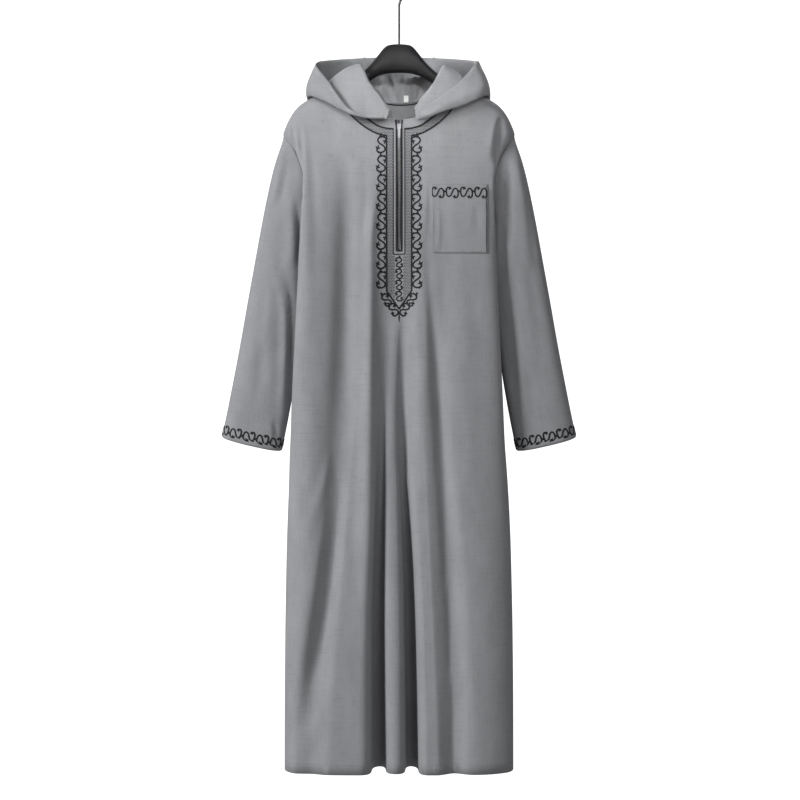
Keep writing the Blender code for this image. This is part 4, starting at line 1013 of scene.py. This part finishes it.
def satin_ribbon():
    """White polyester satin: smooth, with a broad sheen across its fine lengthwise threads."""
    material, shader = new_material("white_satin_ribbon", roughness=0.5)
    threads = object_noise(material, (1800, 1800, 160), 2.0)
    finish_pattern(material, shader, threads, ((0.3, "#ededeb"), (0.7, "#ffffff")), 0.2, 0.0001)
    shader.inputs["Sheen Weight"].default_value = 0.3
    return material


tab_form = outer_skin("size_tab", TAB_CENTRE)
bmesh.ops.subdivide_edges(tab_form, edges=tab_form.edges[:], cuts=2, use_grid_fill=True)
tab = new_object("size_tab_ribbon", tab_form, satin_ribbon())
give_wall(tab, TAB_THICKNESS)
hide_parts("size_tab")

# Hanger. One moulded body of black plastic, thick at the shoulders, with a domed top that the hook's
# wire goes into.
CROWN_HALF_WIDTH, CROWN_RISE, CROWN_FOOT_Z, CROWN_FADE = 0.040, 0.0040, -0.190, 0.040


def moulded_plastic():
    """Black polypropylene from a lightly grained mould: a broad, soft shine, uneven where it is handled."""
    material, shader = new_material("moulded_black_polypropylene", roughness=0.45)
    uneven_gloss(material, shader, object_noise(material, 22.0, 3.0), 0.48, 0.62)
    grain = object_noise(material, 900.0, 4.0)
    finish_pattern(material, shader, grain, ((0.3, "#141415"), (0.7, "#1b1b1d")), 0.25, 0.0002)
    shader.inputs["IOR"].default_value = 1.49
    shader.inputs["Specular IOR Level"].default_value = 0.25
    return material


def enamelled_wire():
    """Steel wire under black enamel: glossy, with a faint ripple along it."""
    material, shader = new_material("black_enamelled_steel_wire", roughness=0.3)
    ripple = object_noise(material, 160.0, 3.0)
    finish_pattern(material, shader, ripple, ((0.3, "#2a2a2c"), (0.7, "#38383a")), 0.2, 0.0003)
    return material


hanger_form = solid_copy("hanger_arms")
join_triangles(hanger_form)
hanger_form = smoothed(hanger_form, 2)
for vert in hanger_form.verts:
    across = abs(vert.co.x) / CROWN_HALF_WIDTH
    if across < 1:
        vert.co.z += CROWN_RISE * (1 - across**2) * ease((vert.co.z - CROWN_FOOT_Z) / CROWN_FADE)
hanger = new_object("hanger_body", hanger_form, moulded_plastic())
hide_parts("hanger_arms")
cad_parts["hanger_hook"].material_slots[0].material = enamelled_wire()

# Studio. A white floor and backdrop. One large light from the left gives the folds their shade, and two weak
# ones from the front lift the cloth and the neck.
FLOOR_Z, FLOOR_REACH, FLOOR_GLOW, BACKDROP_GLOW, SKY_GLOW = -1.80, 20.0, 1.3, 1.6, 0.20


def show_camera(owner, usual, seen, output):
    """Shows the camera one shader and every other ray the usual one."""
    rays = add(owner, "ShaderNodeLightPath")
    either = add(owner, "ShaderNodeMixShader", [(0, rays, "Is Camera Ray"), (1, usual, 0), (2, seen, 0)])
    owner.node_tree.links.new(either.outputs[0], owner.node_tree.nodes[output].inputs["Surface"])


floor_form = bmesh.new()
bmesh.ops.create_grid(floor_form, x_segments=1, y_segments=1, size=FLOOR_REACH)
bmesh.ops.translate(floor_form, verts=floor_form.verts, vec=(0, 0, FLOOR_Z))
floor = mesh_object("floor", floor_form)
white_paper, paper_shader = new_material("white_floor", roughness=0.9)
paper_shader.inputs["Base Color"].default_value = linear("#9a9a9a")
glow = add(white_paper, "ShaderNodeEmission", Strength=FLOOR_GLOW)
show_camera(white_paper, paper_shader, glow, "Material Output")
floor.data.materials.append(white_paper)

world = bpy.data.worlds.new("studio")
scene.world = world
world.use_nodes = True
sky = world.node_tree.nodes["Background"]
sky.inputs["Color"].default_value = (1, 1, 1, 1)
sky.inputs["Strength"].default_value = SKY_GLOW
show_camera(world, sky, add(world, "ShaderNodeBackground", Strength=BACKDROP_GLOW), "World Output")
scene.view_settings.view_transform = "Standard"


def soft_light(name, place, target, size, power, spread=180):
    light = bpy.data.objects.new(name, bpy.data.lights.new(name, "AREA"))
    scene.collection.objects.link(light)
    light.data.shape = "RECTANGLE"
    light.data.size, light.data.size_y = size
    light.data.energy = power
    light.data.spread = math.radians(spread)
    light.location = place
    light.rotation_euler = (Vector(target) - Vector(place)).to_track_quat("-Z", "Y").to_euler()


soft_light("key", (-4.4, -3.0, 1.1), (0, 0, -0.85), (1.5, 2.5), 360)
soft_light("front", (1.2, -3.1, -0.3), (0, 0, -0.9), (1.2, 1.2), 22)
soft_light("neck", (0.2, -2.4, 0.35), (0, 0.03, -0.25), (0.3, 0.3), 0.3, spread=12)
